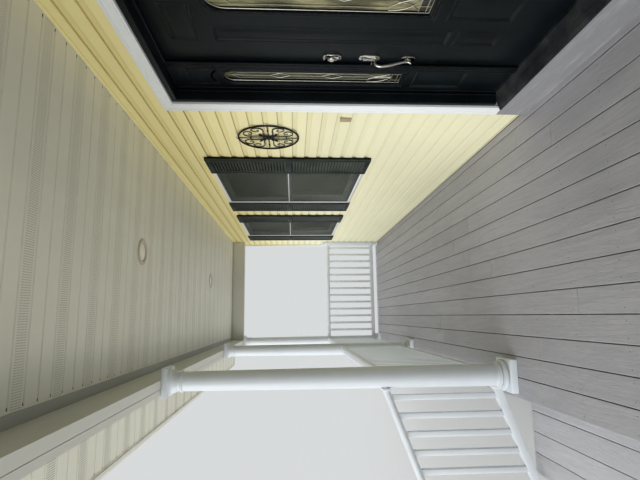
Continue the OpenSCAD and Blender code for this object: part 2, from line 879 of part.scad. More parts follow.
module glass_unit(w) {
    rebate = 8 - seat;
    translate([0, 0, door_z + glass_rise]) along_y(door_y + 14, door_y + 14 + glass_t)
        translate([0, -rebate]) arch(w + 2 * rebate, glass_h + 2 * rebate);
}

low_panels_z = door_z + low_panel_rise;
tall_panels_z = low_panels_z + side_panel_h + door_rail;
top_panels_z = door_top - top_rail - top_panel_h;

module sidelight() {
    middle = (side_x + jamb_x) / 2;
    w = sidelight_w - 2 * seat;
    color("black") translate([middle, 0, 0]) difference() {
        union() {
            block([-w / 2, door_y, sill_back_z], [w / 2, door_y + door_t, head_z]);
            light_band(side_glass_w);
        }
        glass_opening(side_glass_w);
        raised_panel(0, door_z + glass_rise - 77 - light_panel_h, light_panel_w, light_panel_h);
        raised_panel(0, top_panels_z - 28, light_panel_w, top_panel_h + 28);
    }
}

module sidelights() {
    both_sides() sidelight();
}

module sidelight_glass() {
    color("lightblue") both_sides() translate([(side_x + jamb_x) / 2, 0, 0]) glass_unit(side_glass_w);
}

module front_door() {
    color("black") difference() {
        union() {
            block([-leaf_x, door_y, door_z], [leaf_x, door_y + door_t, door_top]);
            light_band(door_glass_w);
        }
        glass_opening(door_glass_w);
        raised_panel(0, low_panels_z, low_panel_w, low_panel_h);
        both_sides() {
            raised_panel(side_panel_x, low_panels_z, side_panel_w, side_panel_h);
            raised_panel(side_panel_x, tall_panels_z, side_panel_w, top_panels_z - 70 - tall_panels_z);
            raised_panel(top_panel_w / 2 + door_rail * 1.5, top_panels_z, top_panel_w, top_panel_h);
        }
        hinge_mortises();
    }
}

module door_glass() {
    color("lightblue") glass_unit(door_glass_w);
}

lock_x = -leaf_x + backset;
grip_z = door_z + grip_rise;
thumb_z = grip_z + grip_h;
deadbolt_z = thumb_z + bolt_rise;

// A plate on the door's face
module plate(z, w, h, t) {
    block([lock_x - w / 2, door_y - t, z - h / 2], [lock_x + w / 2, door_y, z + h / 2]);
}

module handleset() {
    color("silver") {
        plate(deadbolt_z, 58, 100, 12);
        translate([lock_x, door_y - 12, deadbolt_z]) rotate([90, 0, 0]) cylinder(d = 36, h = 12);
        plate(thumb_z, 52, 118, 10);
        plate(grip_z, 46, 72, 10);
        grip();
    }
}

// The grip, an arc that springs from the thumb plate and lands on the lower plate
module grip() {
    reach = 48;
    bar = 16;
    for (z = [grip_z, thumb_z - 40])
        translate([lock_x, door_y - 8, z]) rotate([90, 0, 0]) cylinder(d = bar, h = reach - 8);
    translate([lock_x, door_y - reach, grip_z]) cylinder(d = bar, h = thumb_z - 40 - grip_z);
    for (z = [grip_z, thumb_z - 40]) translate([lock_x, door_y - reach, z]) sphere(d = bar);
}

hinge_h = 100;
knuckle_h = hinge_h / 3;
knuckle_d = 14;
pin_d = 7;
leaf_t = 2;
hinge_x = leaf_x + door_gap / 2;
hinge_y = back_y + knuckle_d / 2 + 1;
hinge_zs = [door_z + 180, door_z + door_h / 2, door_z + door_h - 180];

// Shallow pockets in the door's edge for the hinge leaves
module hinge_mortises() {
    for (z = hinge_zs)
        block([leaf_x - leaf_t, door_y + 12, z - hinge_h / 2],
            [leaf_x + cut, back_y + cut, z + hinge_h / 2]);
}

// The leaves and middle knuckles that turn with the door
module door_hinges() {
    color("silver") for (z = hinge_zs) difference() {
        union() {
            block([leaf_x - leaf_t, door_y + 12, z - hinge_h / 2], [leaf_x, back_y, z + hinge_h / 2]);
            block([leaf_x - leaf_t, back_y, z - knuckle_h / 2 + seat],
                [leaf_x, hinge_y, z + knuckle_h / 2 - seat]);
            translate([hinge_x, hinge_y, z - knuckle_h / 2 + seat])
                cylinder(d = knuckle_d, h = knuckle_h - 2 * seat);
        }
        translate([hinge_x, hinge_y, z - hinge_h]) cylinder(d = pin_d + 2 * seat, h = 2 * hinge_h);
    }
}

// The knuckles and pins that stay on the jamb
module jamb_hinges() {
    color("silver") for (z = hinge_zs) {
        translate([hinge_x, hinge_y, z - hinge_h / 2]) cylinder(d = pin_d, h = hinge_h);
        for (low = [z - hinge_h / 2, z + knuckle_h / 2]) {
            translate([hinge_x, hinge_y, low]) cylinder(d = knuckle_d, h = knuckle_h);
            block([post_x, back_y, low], [post_x + 24, back_y + leaf_t, low + knuckle_h]);
            block([hinge_x, back_y, low], [post_x + cut, back_y + leaf_t, low + knuckle_h]);
        }
    }
}

sash_gap = 1;
frame_depth = 104;

frame_front_y = wall_y - casing_t / 2;
frame_back_y = wall_y + frame_depth;
screen_seat = 1.5;
mesh_t = 1;
screen_y = frame_front_y + 5;

// A block of the window's outline between two places in Y, smaller by a border all round
module window_block(border, y0, y1) {
    block([-window_w / 2 + border, y0, window_z + border],
        [window_w / 2 - border, y1, window_z + window_h - border]);
}

// A window frame, its face rebated for the insect screen
module window_frame() {
    difference() {
        window_block(0, frame_front_y, frame_back_y);
        window_block(frame_w, frame_front_y - cut, frame_back_y + cut);
        window_block(frame_face_w, frame_front_y - cut, screen_y + screen_t);
    }
}

// The insect screen in its rebate: a thin frame round one sheet of mesh
module window_screen() {
    border = frame_face_w + screen_seat;
    middle = screen_y + screen_t / 2;
    difference() {
        window_block(border, screen_y, screen_y + screen_t);
        window_block(border + screen_frame_w, screen_y - cut, middle - mesh_t / 2);
        window_block(border + screen_frame_w, middle + mesh_t / 2, screen_y + screen_t + cut);
    }
}

module window_screens() {
    color("dimgray") for (x = window_xs) translate([x, 0, 0]) window_screen();
}

module window_frames() {
    color("white") for (x = window_xs) translate([x, 0, 0]) window_frame();
}

sash_w = window_w - 2 * frame_w;
sash_h = (window_h - 2 * frame_w + stile_w) / 2;

// One sash: a frame of four bars
module sash(y, z) {
    difference() {
        block([-sash_w / 2, y, z], [sash_w / 2, y + sash_t, z + sash_h]);
        block([-sash_w / 2 + stile_w, y - cut, z + stile_w],
            [sash_w / 2 - stile_w, y + sash_t + cut, z + sash_h - stile_w]);
    }
}

module pane(y, z) {
    middle = y + (sash_t - pane_t) / 2;
    block([-sash_w / 2 + stile_w, middle, z + stile_w],
        [sash_w / 2 - stile_w, middle + pane_t, z + sash_h - stile_w]);
}

upper_sash_y = wall_y + 20;
lower_sash_y = upper_sash_y + sash_t + sash_gap;
upper_sash_z = window_z + window_h - frame_w - sash_h;
lower_sash_z = window_z + frame_w;

module window_sashes() {
    color("white") for (x = window_xs) translate([x, 0, 0]) {
        sash(upper_sash_y, upper_sash_z);
        sash(lower_sash_y, lower_sash_z);
    }
}

module window_glass() {
    color("darkslategray") for (x = window_xs) translate([x, 0, 0]) {
        pane(upper_sash_y, upper_sash_z);
        pane(lower_sash_y, lower_sash_z);
    }
}

// Overlapping louvres on one backing, from z = 0 up to a height
module louvres(w, h) {
    count = round(h / louvre_h);
    step = h / count;
    front = -shutter_t + 4;
    teeth = [for (i = [0 : count - 1]) let (z = i * step)
        each [[front, z], [front, z + 4], [-6, z + step * 0.9], [front, z + step]]];
    along_x(-w / 2, w / 2) polygon(concat([[0, 0]], teeth, [[0, h]]));
}

// A shutter whose back lies on the wall, with two louvred panels and a rail between them
module shutter(x) {
    h = window_h + 2 * shutter_past;
    z = window_z - shutter_past;
    inner_w = shutter_w - 2 * shutter_frame_w;
    field = (h - 2 * shutter_frame_w - shutter_rail_h) / 2;
    translate([x, wall_y, z]) {
        difference() {
            block([-shutter_w / 2, -shutter_t, 0], [shutter_w / 2, 0, h]);
            for (low = [shutter_frame_w, shutter_frame_w + field + shutter_rail_h])
                block([-inner_w / 2, -shutter_t - cut, low], [inner_w / 2, cut, low + field]);
        }
        for (low = [shutter_frame_w, shutter_frame_w + field + shutter_rail_h])
            translate([0, 0, low]) louvres(inner_w, field);
    }
}

module shutters_of_half() {
    offset_x = (window_w + shutter_w) / 2 + 4;
    for (x = [inner_window_x, outer_window_x], s = [-1, 1]) shutter(x + s * offset_x);
}

module shutters_right() {
    color("black") shutters_of_half();
}

module shutters_left() {
    color("black") mirror([1, 0, 0]) shutters_of_half();
}

// A recessed light: its flat trim ring, with a shallow lens in the well
module ceiling_light() {
    well_r = light_well_d / 2;
    lens_z = -light_drop + 5;
    swell = 3;
    rotate_extrude() polygon(concat(
        [[0, 0], [light_d / 2, 0], [light_d / 2, 3 - light_drop], [light_d / 2 - 4, -light_drop],
            [well_r + 3, -light_drop], [well_r, 3 - light_drop], [well_r, lens_z]],
        [for (i = [5 : -1 : 0]) [(well_r - 6) * i / 5, lens_z - swell * (1 - pow(i / 5, 2))]]));
}

module ceiling_lights() {
    color("white") both_sides() for (x = [inner_x, middle_x])
        translate([x + light_past_column, wall_y - light_from_wall, ceiling_z]) ceiling_light();
}

module wall_ornament() {
    bar = 14;
    hub_d = ring_d / 3;
    color("black") translate([-ring_x, wall_y - bar / 2, deck_z + ring_rise]) rotate([90, 0, 0]) {
        rotate_extrude() translate([(ring_d - bar) / 2, 0]) circle(d = bar);
        rotate_extrude() translate([(hub_d - bar) / 2, 0]) circle(d = bar * 0.7);
        for (a = [0 : 45 : 135]) rotate(a)
            block([-ring_d / 2 + bar / 2, -bar / 4, -bar / 4], [ring_d / 2 - bar / 2, bar / 4, bar / 4]);
    }
}

module doorbell() {
    color("tan") translate([-bell_x, wall_y, deck_z + bell_rise]) {
        block([-22, -12, -40], [22, 0, 40]);
        block([-18, -16, -36], [18, -12 + cut, 36]);
        translate([0, -16 + cut, 0]) rotate([90, 0, 0]) cylinder(d = 21, h = 2 + cut);
    }
}

foundation();
deck_piers();
deck_frame();
deck_boards();
skirt_boards();
skirt_posts();
landing_frame();
tread_frame();
step_boards();
risers();
stair_newels();
stair_rail(-inner_x);  // stair_rail_left
stair_rail(inner_x);  // stair_rail_right
column_at(-corner_x);  // column_left_corner
column_at(-middle_x);  // column_left_middle
column_at(-inner_x);  // column_left_inner
column_at(inner_x);  // column_right_inner
column_at(middle_x);  // column_right_middle
column_at(corner_x);  // column_right_corner
front_rail(-middle_x, -inner_x);  // rail_left_inner
front_rail(-corner_x, -middle_x);  // rail_left_outer
front_rail(inner_x, middle_x);  // rail_right_inner
front_rail(middle_x, corner_x);  // rail_right_outer
end_rail(-corner_x);  // rail_left_end
end_rail(corner_x);  // rail_right_end
wall_posts();
beam_front();
beam_ends();
ceiling();
soffit();
fascia();
rake_boards();
gutter();
roof();
gables();
wall_left();
wall_right();
wall_over_door();
corner_boards();
kick_board();
door_sill();
door_casing();
door_frame();
sidelights();
sidelight_glass();
front_door();
door_glass();
handleset();
door_hinges();
jamb_hinges();
window_frames();
window_sashes();
window_glass();
window_screens();
shutters_left();
shutters_right();
ceiling_lights();
wall_ornament();
doorbell();
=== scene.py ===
import bpy
import functools
import json
from math import ceil, copysign, cos, floor, pi, radians, sin, tan
from mathutils import Matrix, Vector

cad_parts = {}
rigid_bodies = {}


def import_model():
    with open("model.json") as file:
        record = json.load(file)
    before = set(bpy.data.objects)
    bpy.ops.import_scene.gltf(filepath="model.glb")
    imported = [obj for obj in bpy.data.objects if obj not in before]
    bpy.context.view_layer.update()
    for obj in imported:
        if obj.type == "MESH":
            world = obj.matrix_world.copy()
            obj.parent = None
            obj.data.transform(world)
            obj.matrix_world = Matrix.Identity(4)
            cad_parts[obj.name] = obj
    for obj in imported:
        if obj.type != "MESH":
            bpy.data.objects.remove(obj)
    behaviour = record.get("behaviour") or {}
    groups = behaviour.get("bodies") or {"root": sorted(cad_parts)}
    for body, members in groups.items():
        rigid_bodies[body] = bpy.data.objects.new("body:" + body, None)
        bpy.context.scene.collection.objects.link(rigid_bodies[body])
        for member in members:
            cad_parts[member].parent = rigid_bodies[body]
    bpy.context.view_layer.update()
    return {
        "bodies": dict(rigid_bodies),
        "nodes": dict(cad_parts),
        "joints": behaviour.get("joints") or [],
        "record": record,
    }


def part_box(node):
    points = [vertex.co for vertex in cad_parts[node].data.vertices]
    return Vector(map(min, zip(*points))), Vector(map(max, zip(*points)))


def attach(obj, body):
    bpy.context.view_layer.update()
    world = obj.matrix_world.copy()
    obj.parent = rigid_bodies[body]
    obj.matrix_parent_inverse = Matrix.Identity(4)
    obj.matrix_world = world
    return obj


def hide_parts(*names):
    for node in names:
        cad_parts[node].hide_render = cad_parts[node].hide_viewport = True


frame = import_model()
print("Frame loaded:", len(frame["nodes"]), "CAD pieces")

# Levels and lines that the pieces share, read from the CAD pieces
deckLow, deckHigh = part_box("deck_boards")
wallLow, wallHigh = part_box("wall_right")
ceilingLow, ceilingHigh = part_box("ceiling")
beamLow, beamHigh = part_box("beam_front")
doorLow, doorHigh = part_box("front_door")
windowLow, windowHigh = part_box("window_frames")
deckTop, deckFront, wallFace, wallTop = deckHigh.z, deckLow.y, wallLow.y, wallHigh.z
cutPast = 0.1  # how far a cutter stands out of the piece that it cuts


# Modelling by hand, in short words

def alone(piece=None):
    bpy.ops.object.select_all(action="DESELECT")
    if piece:
        piece.select_set(True)
        bpy.context.view_layer.objects.active = piece


def settle(piece):
    alone(piece)
    bpy.ops.object.transform_apply(location=True, rotation=True, scale=True)
    return piece


def edited(piece, *steps):
    # the whole piece is selected in edit mode before each step
    alone(piece)
    bpy.ops.object.mode_set(mode="EDIT")
    for step in steps:
        bpy.ops.mesh.select_all(action="SELECT")
        step()
    bpy.ops.object.mode_set(mode="OBJECT")
    return piece


def faceOut():
    bpy.ops.mesh.normals_make_consistent(inside=False)


def pick(piece, kind, wanted):
    # edit mode with only the wanted faces or edges selected
    alone(piece)
    bpy.ops.object.mode_set(mode="EDIT")
    bpy.ops.mesh.select_mode(type=kind)
    bpy.ops.mesh.select_all(action="DESELECT")
    bpy.ops.object.mode_set(mode="OBJECT")
    for part in piece.data.polygons if kind == "FACE" else piece.data.edges:
        part.select = wanted(part)
    bpy.ops.object.mode_set(mode="EDIT")


def done():
    bpy.ops.mesh.select_mode(type="VERT")
    bpy.ops.object.mode_set(mode="OBJECT")


def ordered(corner, other):
    # the lowest and the highest corner of a box between two opposite corners
    return [Vector(end(pair) for pair in zip(corner, other)) for end in (min, max)]


def block(name, corner, other, ease=0.0, steps=2):
    # a box between two opposite corners, with eased edges
    low, high = ordered(corner, other)
    alone()
    bpy.ops.mesh.primitive_cube_add(size=1, location=(low + high) / 2, scale=high - low)
    piece = settle(bpy.context.object)
    piece.name = name
    if ease:
        edited(piece, lambda: bpy.ops.mesh.bevel(offset=ease, segments=steps, affect="EDGES"))
    return piece


def outlined(name, points, fill):
    # a circle whose vertices are moved to the points of an outline
    alone()
    bpy.ops.mesh.primitive_circle_add(vertices=len(points), radius=1, fill_type=fill)
    piece = bpy.context.object
    piece.name = name
    for vertex, point in zip(piece.data.vertices, points):
        vertex.co = point
    return piece


def onAxis(axis, along, a, b):
    return {"x": (along, a, b), "y": (a, along, b), "z": (a, b, along)}[axis]


def bar(name, outline, axis, start, end):
    # a filled outline drawn out along one axis
    piece = outlined(name, [onAxis(axis, start, a, b) for a, b in outline], "NGON")
    move = {"value": onAxis(axis, end - start, 0, 0)}
    return edited(piece, lambda: bpy.ops.mesh.extrude_region_move(TRANSFORM_OT_translate=move), faceOut)


def turned(name, outline, steps, closed=False):
    # an outline of (radius, height) spun round the upright axis
    piece = outlined(name, [(radius, 0, height) for radius, height in outline], "NOTHING")
    if not closed:
        pick(piece, "EDGE", lambda edge: set(edge.vertices) == {0, len(outline) - 1})
        bpy.ops.mesh.delete(type="EDGE")
        done()
    return edited(piece,
                  lambda: bpy.ops.mesh.spin(steps=steps, angle=2 * pi, center=(0, 0, 0), axis=(0, 0, 1)),
                  lambda: bpy.ops.mesh.remove_doubles(threshold=0.00002), faceOut)


def facing(piece, place, way=-1):
    # a piece turned upright comes to stand out along Y at a place, towards the steps or the house
    piece.rotation_euler = (-way * pi / 2, 0, 0)
    piece.location = place
    return settle(piece)


def rod(name, points, radii, closed=False, straight=False):
    # a round bar along smooth or straight lines, as thick at each point as its radius says
    alone()
    bpy.ops.curve.primitive_bezier_curve_add(location=(0, 0, 0))
    piece = bpy.context.object
    piece.name = name
    curve, spline = piece.data, piece.data.splines[0]
    curve.bevel_depth, curve.use_fill_caps = 1.0, True
    curve.bevel_resolution, curve.resolution_u = (1, 1) if straight else (3, 6)
    spline.bezier_points.add(len(points) - 2)
    spline.use_cyclic_u = closed
    for knot, place, radius in zip(spline.bezier_points, points, radii):
        knot.co, knot.radius = place, radius
        knot.handle_left_type = knot.handle_right_type = "VECTOR" if straight else "AUTO"
    bpy.ops.object.convert(target="MESH")
    return smooth(piece, 60)


def insets(piece, wanted, steps, pierced=False):
    # a moulding: the wanted face is inset again and again, each time raised or sunk
    pick(piece, "FACE", wanted)
    for width, rise in steps:
        bpy.ops.mesh.inset(thickness=width, depth=rise)
    if pierced:
        bpy.ops.mesh.delete(type="FACE")
    done()
    return piece


def modified(piece, kind, **settings):
    modifier = piece.modifiers.new(kind, kind)
    for key, value in settings.items():
        setattr(modifier, key, value)
    alone(piece)
    bpy.ops.object.modifier_apply(modifier=modifier.name)
    return piece


def eased(piece, width, steps, angle):
    return modified(piece, "BEVEL", width=width, segments=steps, limit_method="ANGLE",
                    angle_limit=radians(angle))


def repeated(piece, count, step):
    return modified(piece, "ARRAY", count=count, use_relative_offset=False, use_constant_offset=True,
                    constant_offset_displace=step)


def cutAway(piece, cutters):
    for cutter in cutters:
        modified(piece, "BOOLEAN", object=cutter, operation="DIFFERENCE", solver="EXACT")
        bpy.data.objects.remove(cutter)
    return piece


def sliced(piece, place, normal):
    # trims off what lies beyond a plane, on the side its normal points to
    return edited(piece, lambda: bpy.ops.mesh.bisect(plane_co=place, plane_no=normal, use_fill=True,
                                                     clear_outer=True))


def hollow(name, corner, other, border, ease, steps):
    # a frame of one piece round an opening that runs through along Y
    low, high = ordered(corner, other)
    inwards = Vector((border, -cutPast, border))
    piece = cutAway(block(name, low, high), [block("cutter", low + inwards, high - inwards)])
    return smooth(eased(piece, ease, steps, 40), 40)


def centred(name, half, y0, z0, y1, z1, ease=0.0, steps=2):
    # a block over the middle line
    return block(name, (-half, y0, z0), (half, y1, z1), ease, steps)


def hoop(name, half, y0, z0, y1, z1, border, ease, steps=2):
    return hollow(name, (-half, y0, z0), (half, y1, z1), border, ease, steps)


def small(name, xs, half, y0, z0, y1, z1, ease=0.001, steps=1):
    # the same little block at several places along X
    return [smooth(block(name, (x - half, y0, z0), (x + half, y1, z1), ease, steps)) for x in xs]


def copied(piece, move):
    alone(piece)
    bpy.ops.object.duplicate(linked=False)
    twin = bpy.context.object
    twin.location = move
    return settle(twin)


def placed(model, places):
    # a copy of the model at each place
    row = [copied(model, place) for place in places]
    bpy.data.objects.remove(model)
    return row


def smooth(piece, angle=35):
    alone(piece)
    bpy.ops.object.shade_smooth_by_angle(angle=radians(angle))
    return piece


def joined(pieces, angle=None):
    alone(pieces[0])
    for piece in pieces[1:]:
        piece.select_set(True)
    if len(pieces) > 1:
        bpy.ops.object.join()
    return smooth(pieces[0], angle) if angle else pieces[0]


def toned(piece, values):
    # one number per vertex, which the paint reads as that board's or tab's own tone
    piece.data.attributes.new("tone", "FLOAT", "POINT").data.foreach_set("value", values)
    return piece


def paint(node, coat):
    # a CAD piece that stays gets its material
    slots = frame["nodes"][node].data.materials
    slots.clear()
    slots.append(coat.material)


def dress(name, pieces, coat, slotName, nodes=(), angle=None, body="porch"):
    # a finished piece: joined, smoothed and named, with its material, its body and the nodes it stands for
    piece = joined(pieces, angle)
    piece.name = piece.data.name = name
    piece.data.materials.clear()
    piece.data.materials.append(coat.material)
    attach(piece, body)
    if nodes:
        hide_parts(*nodes)


def camel(node):
    first, *rest = node.split("_")
    return first + "".join(word.title() for word in rest)


def scatter(index, salt):
    # a fixed number between 0 and 1 for each index
    value = sin(index * 12.9898 + salt * 78.233) * 43758.5453
    return value - floor(value)


# Shader nodes in short words

class Nodes:
    def __init__(self, tree):
        self.tree = tree

    def feed(self, socket, value):
        if isinstance(value, bpy.types.NodeSocket):
            self.tree.links.new(value, socket)
        else:
            socket.default_value = (*value, 1) if socket.type == "RGBA" else value

    def add(self, kind, *values, **named):
        # values feed the first sockets; a capital names a socket, a small letter a setting
        made = self.tree.nodes.new("ShaderNode" + kind)
        feeds = dict(enumerate(values))
        for key, value in named.items():
            if key[0].isupper():
                feeds[key.replace("_", " ")] = value
            else:
                setattr(made, key, value)
        for key, value in feeds.items():
            self.feed(made.inputs[key], value)
        return made.outputs

    def maths(self, operation, *values):
        return self.add("Math", *values, operation=operation)[0]

    def chain(self, operation, *values):
        return functools.reduce(lambda a, b: self.maths(operation, a, b), values)

    def times(self, *values):
        return self.chain("MULTIPLY", *values)

    def plus(self, *values):
        return self.chain("ADD", *values)

    def minus(self, a, b):
        return self.maths("SUBTRACT", a, b)

    def repeat(self, value, start, pitch):
        # runs from 0 to 1 over each pitch
        return self.maths("FRACT", self.maths("DIVIDE", self.minus(value, start), pitch))

    def vector(self, operation, *values, **named):
        return self.add("VectorMath", *values, operation=operation, **named)

    def spread(self, value, low, high, to=(0.0, 1.0)):
        return self.add("MapRange", interpolation_type="SMOOTHSTEP", Value=value, From_Min=low, From_Max=high,
                        To_Min=to[0], To_Max=to[1])[0]

    def noise(self, scale, detail=3.0, rough=0.55, place=None):
        # one scale, or three for a pattern stretched along the axes
        place = self.place if place is None else place
        if isinstance(scale, tuple):
            place, scale = self.vector("MULTIPLY", place, scale)[0], 1.0
        return self.add("TexNoise", Vector=place, Scale=scale, Detail=detail, Roughness=rough)["Fac"]

    def clouds(self, low, high, *noise):
        return self.spread(self.noise(*noise), low, high)

    def cells(self, scale):
        return self.add("TexVoronoi", Vector=self.place, Scale=scale)

    def normal(self, letter):
        return self.add("SeparateXYZ", self.add("NewGeometry")["Normal"])[letter]

    def axis(self, letter):
        return self.add("SeparateXYZ", self.place)[letter]


class Group(Nodes):
    # a shared effect, with numbers for inputs and a vector where None is given
    def __init__(self, name, inputs, outputs):
        super().__init__(bpy.data.node_groups.new(name, "ShaderNodeTree"))
        for label, value in inputs.items():
            kind = "NodeSocketVector" if value is None else "NodeSocketFloat"
            socket = self.tree.interface.new_socket(label, in_out="INPUT", socket_type=kind)
            if value is not None:
                socket.default_value = value
        for label in outputs:
            self.tree.interface.new_socket(label, in_out="OUTPUT", socket_type="NodeSocketFloat")
        self.given = self.tree.nodes.new("NodeGroupInput").outputs
        self.place = self.given["Vector"] if "Vector" in inputs else self.add("TexCoord")["Object"]

    def gives(self, **results):
        out = self.tree.nodes.new("NodeGroupOutput")
        for key, value in results.items():
            self.feed(out.inputs[key], value)
        return self.tree


class Coat(Nodes):
    # a material painted layer over layer, in colours or in shades of its own colour
    def __init__(self, name, colour, rough=0.5, **sockets):
        self.material = bpy.data.materials.new(name)
        self.material.use_nodes = True
        super().__init__(self.material.node_tree)
        self.colour, self.shader = colour, self.tree.nodes["Principled BSDF"].inputs
        for key, value in sockets.items():
            self.shader[key.replace("_", " ")].default_value = value
        self.shader["Roughness"].default_value = rough
        self.place = self.add("TexCoord")["Object"]

    def blend(self, mask, under, over, kind="MIX"):
        mix = self.tree.nodes.new("ShaderNodeMix")
        mix.data_type, mix.blend_type = "RGBA", kind
        for index, value in ((0, mask), (6, under), (7, over)):
            shade = isinstance(value, float) and index
            self.feed(mix.inputs[index], [c * value for c in self.colour] if shade else value)
        self.base = mix.outputs[2]
        self.feed(self.shader["Base Color"], self.base)

    def ground(self, mask, low, high):
        self.blend(mask, low, high)

    def layer(self, mask, colour, amount=1):
        self.blend(mask if amount == 1 else self.times(mask, amount), self.base, colour)

    def tint(self, mask, colour):
        self.blend(mask, self.base, colour, "MULTIPLY")

    def group(self, group, **named):
        return self.add("Group", node_tree=group, **named)

    def worn(self, colour, radius, patch, amount):
        self.layer(self.group(edgeWear, Radius=radius, Patch_Size=patch, Amount=amount)["Mask"], colour)

    def dusty(self, colour, amount, patch):
        mask = self.group(restingDust, Amount=amount, Patch_Size=patch)["Mask"]
        self.layer(mask, colour)
        return mask

    def streaked(self, colour, amount):
        mask = self.group(rainStreaks, Vector=self.place, Amount=amount)["Mask"]
        self.layer(mask, colour)
        return mask

    def rough(self, value, scale, least):
        self.feed(self.shader["Roughness"], self.plus(self.times(value, scale), least))

    def bump(self, height, distance, strength=1.0):
        self.feed(self.shader["Normal"], self.add("Bump", Height=height, Distance=distance, Strength=strength)[0])

    def upright(self):
        # the place laid over, so that a pattern along X runs up
        return self.add("VectorRotate", rotation_type="EULER_XYZ", Vector=self.place, Rotation=(0, pi / 2, 0))[0]


def edgeWearGroup():
    n = Group("edgeWear", {"Radius": 0.004, "Patch Size": 30.0, "Amount": 0.5}, ["Mask"])
    soft = n.add("Bevel", samples=4, Radius=n.given["Radius"])[0]
    turn = n.vector("DOT_PRODUCT", soft, n.add("NewGeometry")["Normal"])["Value"]
    patch = n.clouds(0.42, 0.62, n.given["Patch Size"], 5.0, 0.7)
    return n.gives(Mask=n.times(n.spread(turn, 0.995, 0.85), patch, n.given["Amount"]))


def dustGroup():
    # settles on what faces up, and gathers in soft patches
    n = Group("restingDust", {"Amount": 0.3, "Patch Size": 2.5}, ["Mask"])
    patch = n.clouds(0.35, 0.75, n.given["Patch Size"], 6.0, 0.65)
    return n.gives(Mask=n.times(n.spread(n.normal("Z"), 0.25, 0.95), patch, n.given["Amount"]))


def grainGroup():
    # wood grain along X: long soft bands, fine pores and a few knots
    n = Group("boardGrain", {"Vector": None, "Shift": 0.0, "Scale": 1.0}, ["Bands", "Pores", "Height"])
    shift = n.add("CombineXYZ", X=n.times(n.given["Shift"], 37.0), Z=n.times(n.given["Shift"], 11.0))[0]
    n.place = n.vector("SCALE", n.vector("ADD", n.place, shift)[0], Scale=n.given["Scale"])[0]
    sway = n.add("CombineXYZ", Y=n.times(n.noise((0.9, 5.0, 5.0), 2.0, 0.5), 9.0))[0]
    bent = n.vector("ADD", n.vector("MULTIPLY", n.place, (1.6, 46.0, 46.0))[0], sway)[0]
    bands = n.clouds(0.3, 0.72, 1.0, 4.0, 0.6, bent)
    pores = n.clouds(0.36, 0.6, (14.0, 420.0, 420.0), 3.0, 0.6)
    return n.gives(Bands=bands, Pores=pores, Height=n.plus(n.times(bands, 0.6), n.times(pores, 0.4)))


def embossGroup():
    # moulded vinyl: a shallow printed grain along one direction, and the sheet's slow waves
    n = Group("mouldedVinyl", {"Vector": None, "Fine": 1.0, "Waves": 1.0}, ["Height", "Tone"])
    grain = n.times(n.noise((22.0, 320.0, 320.0), 4.0, 0.65), n.given["Fine"], 0.0004)
    waves = n.times(n.noise((1.7, 3.2, 3.2), 1.0, 0.4), n.given["Waves"], 0.006)
    return n.gives(Height=n.plus(grain, waves), Tone=n.noise((0.7, 2.4, 2.4), 4.0, 0.6))


def streakGroup():
    # what rain leaves on upright faces: long soft runs, broken here and there
    n = Group("rainStreaks", {"Vector": None, "Amount": 0.3}, ["Mask"])
    runs = n.clouds(0.5, 0.8, (16.0, 16.0, 1.1), 4.0, 0.6)
    breaks = n.clouds(0.35, 0.7, (1.3, 1.3, 1.8), 3.0, 0.5)
    return n.gives(Mask=n.times(runs, breaks, n.given["Amount"]))


def speckleGroup():
    n = Group("speckles", {"Vector": None, "Size": 0.003}, ["Grain", "Height"])
    cells = n.cells(n.maths("DIVIDE", 1.0, n.given["Size"]))
    return n.gives(Grain=n.add("SeparateColor", cells["Color"])[0], Height=n.spread(cells["Distance"], 0.7, 0.0))


edgeWear, restingDust, boardGrain = edgeWearGroup(), dustGroup(), grainGroup()
mouldedVinyl, rainStreaks, speckles = embossGroup(), streakGroup(), speckleGroup()


# Materials that several pieces share

def plainMaterial(name, colour, rough):
    coat = Coat(name, colour, rough)
    coat.ground(coat.clouds(0.2, 0.8, 0.5), 0.985, 1.0)
    return coat


def vinyl(name, colour, rough, fine, waves, dirt, upright=False):
    # white and coloured trim: nearly even, with a faint emboss, slow waves and rain streaks
    coat = Coat(name, colour, rough)
    way = coat.upright() if upright else coat.place
    emboss = coat.group(mouldedVinyl, Vector=way, Fine=fine, Waves=waves)
    coat.ground(coat.spread(emboss["Tone"], 0.25, 0.75), 0.965, 1.02)
    coat.streaked(0.72, dirt)
    coat.worn(0.80, 0.003, 14.0, dirt)
    coat.dusty((0.46, 0.44, 0.38), dirt * 1.3, 4.0)
    coat.rough(emboss["Tone"], 0.16, rough - 0.08)
    coat.bump(emboss["Height"], 1.0, 0.5)
    return coat


def blackPaint(name, colour, rough):
    # brushed enamel
    coat = Coat(name, colour, rough, Specular_IOR_Level=0.14)
    haze = coat.noise(3.5, 5.0, 0.65)
    coat.ground(coat.spread(haze, 0.35, 0.7), 0.8, 1.5)
    coat.worn((0.09, 0.085, 0.075), 0.0025, 40.0, 0.55)
    coat.dusty((0.12, 0.12, 0.11), 0.35, 6.0)
    coat.rough(haze, 0.22, rough - 0.06)
    coat.bump(coat.plus(coat.times(coat.noise(260.0, 2.0), 0.5), coat.noise((180.0, 180.0, 9.0))), 0.00025)
    return coat


def brushedMetal(name, colour, rough, direction):
    coat = Coat(name, colour, rough, Metallic=1.0)
    lines, smudge = coat.noise(direction, 4.0, 0.7), coat.noise(26.0, 4.0)
    coat.ground(coat.spread(lines, 0.3, 0.7), 0.85, 1.05)
    coat.layer(coat.spread(smudge, 0.5, 0.75), 0.62, 0.35)
    coat.worn(1.15, 0.0015, 60.0, 0.5)
    coat.rough(smudge, 0.22, rough - 0.06)
    coat.bump(lines, 0.00008)
    return coat


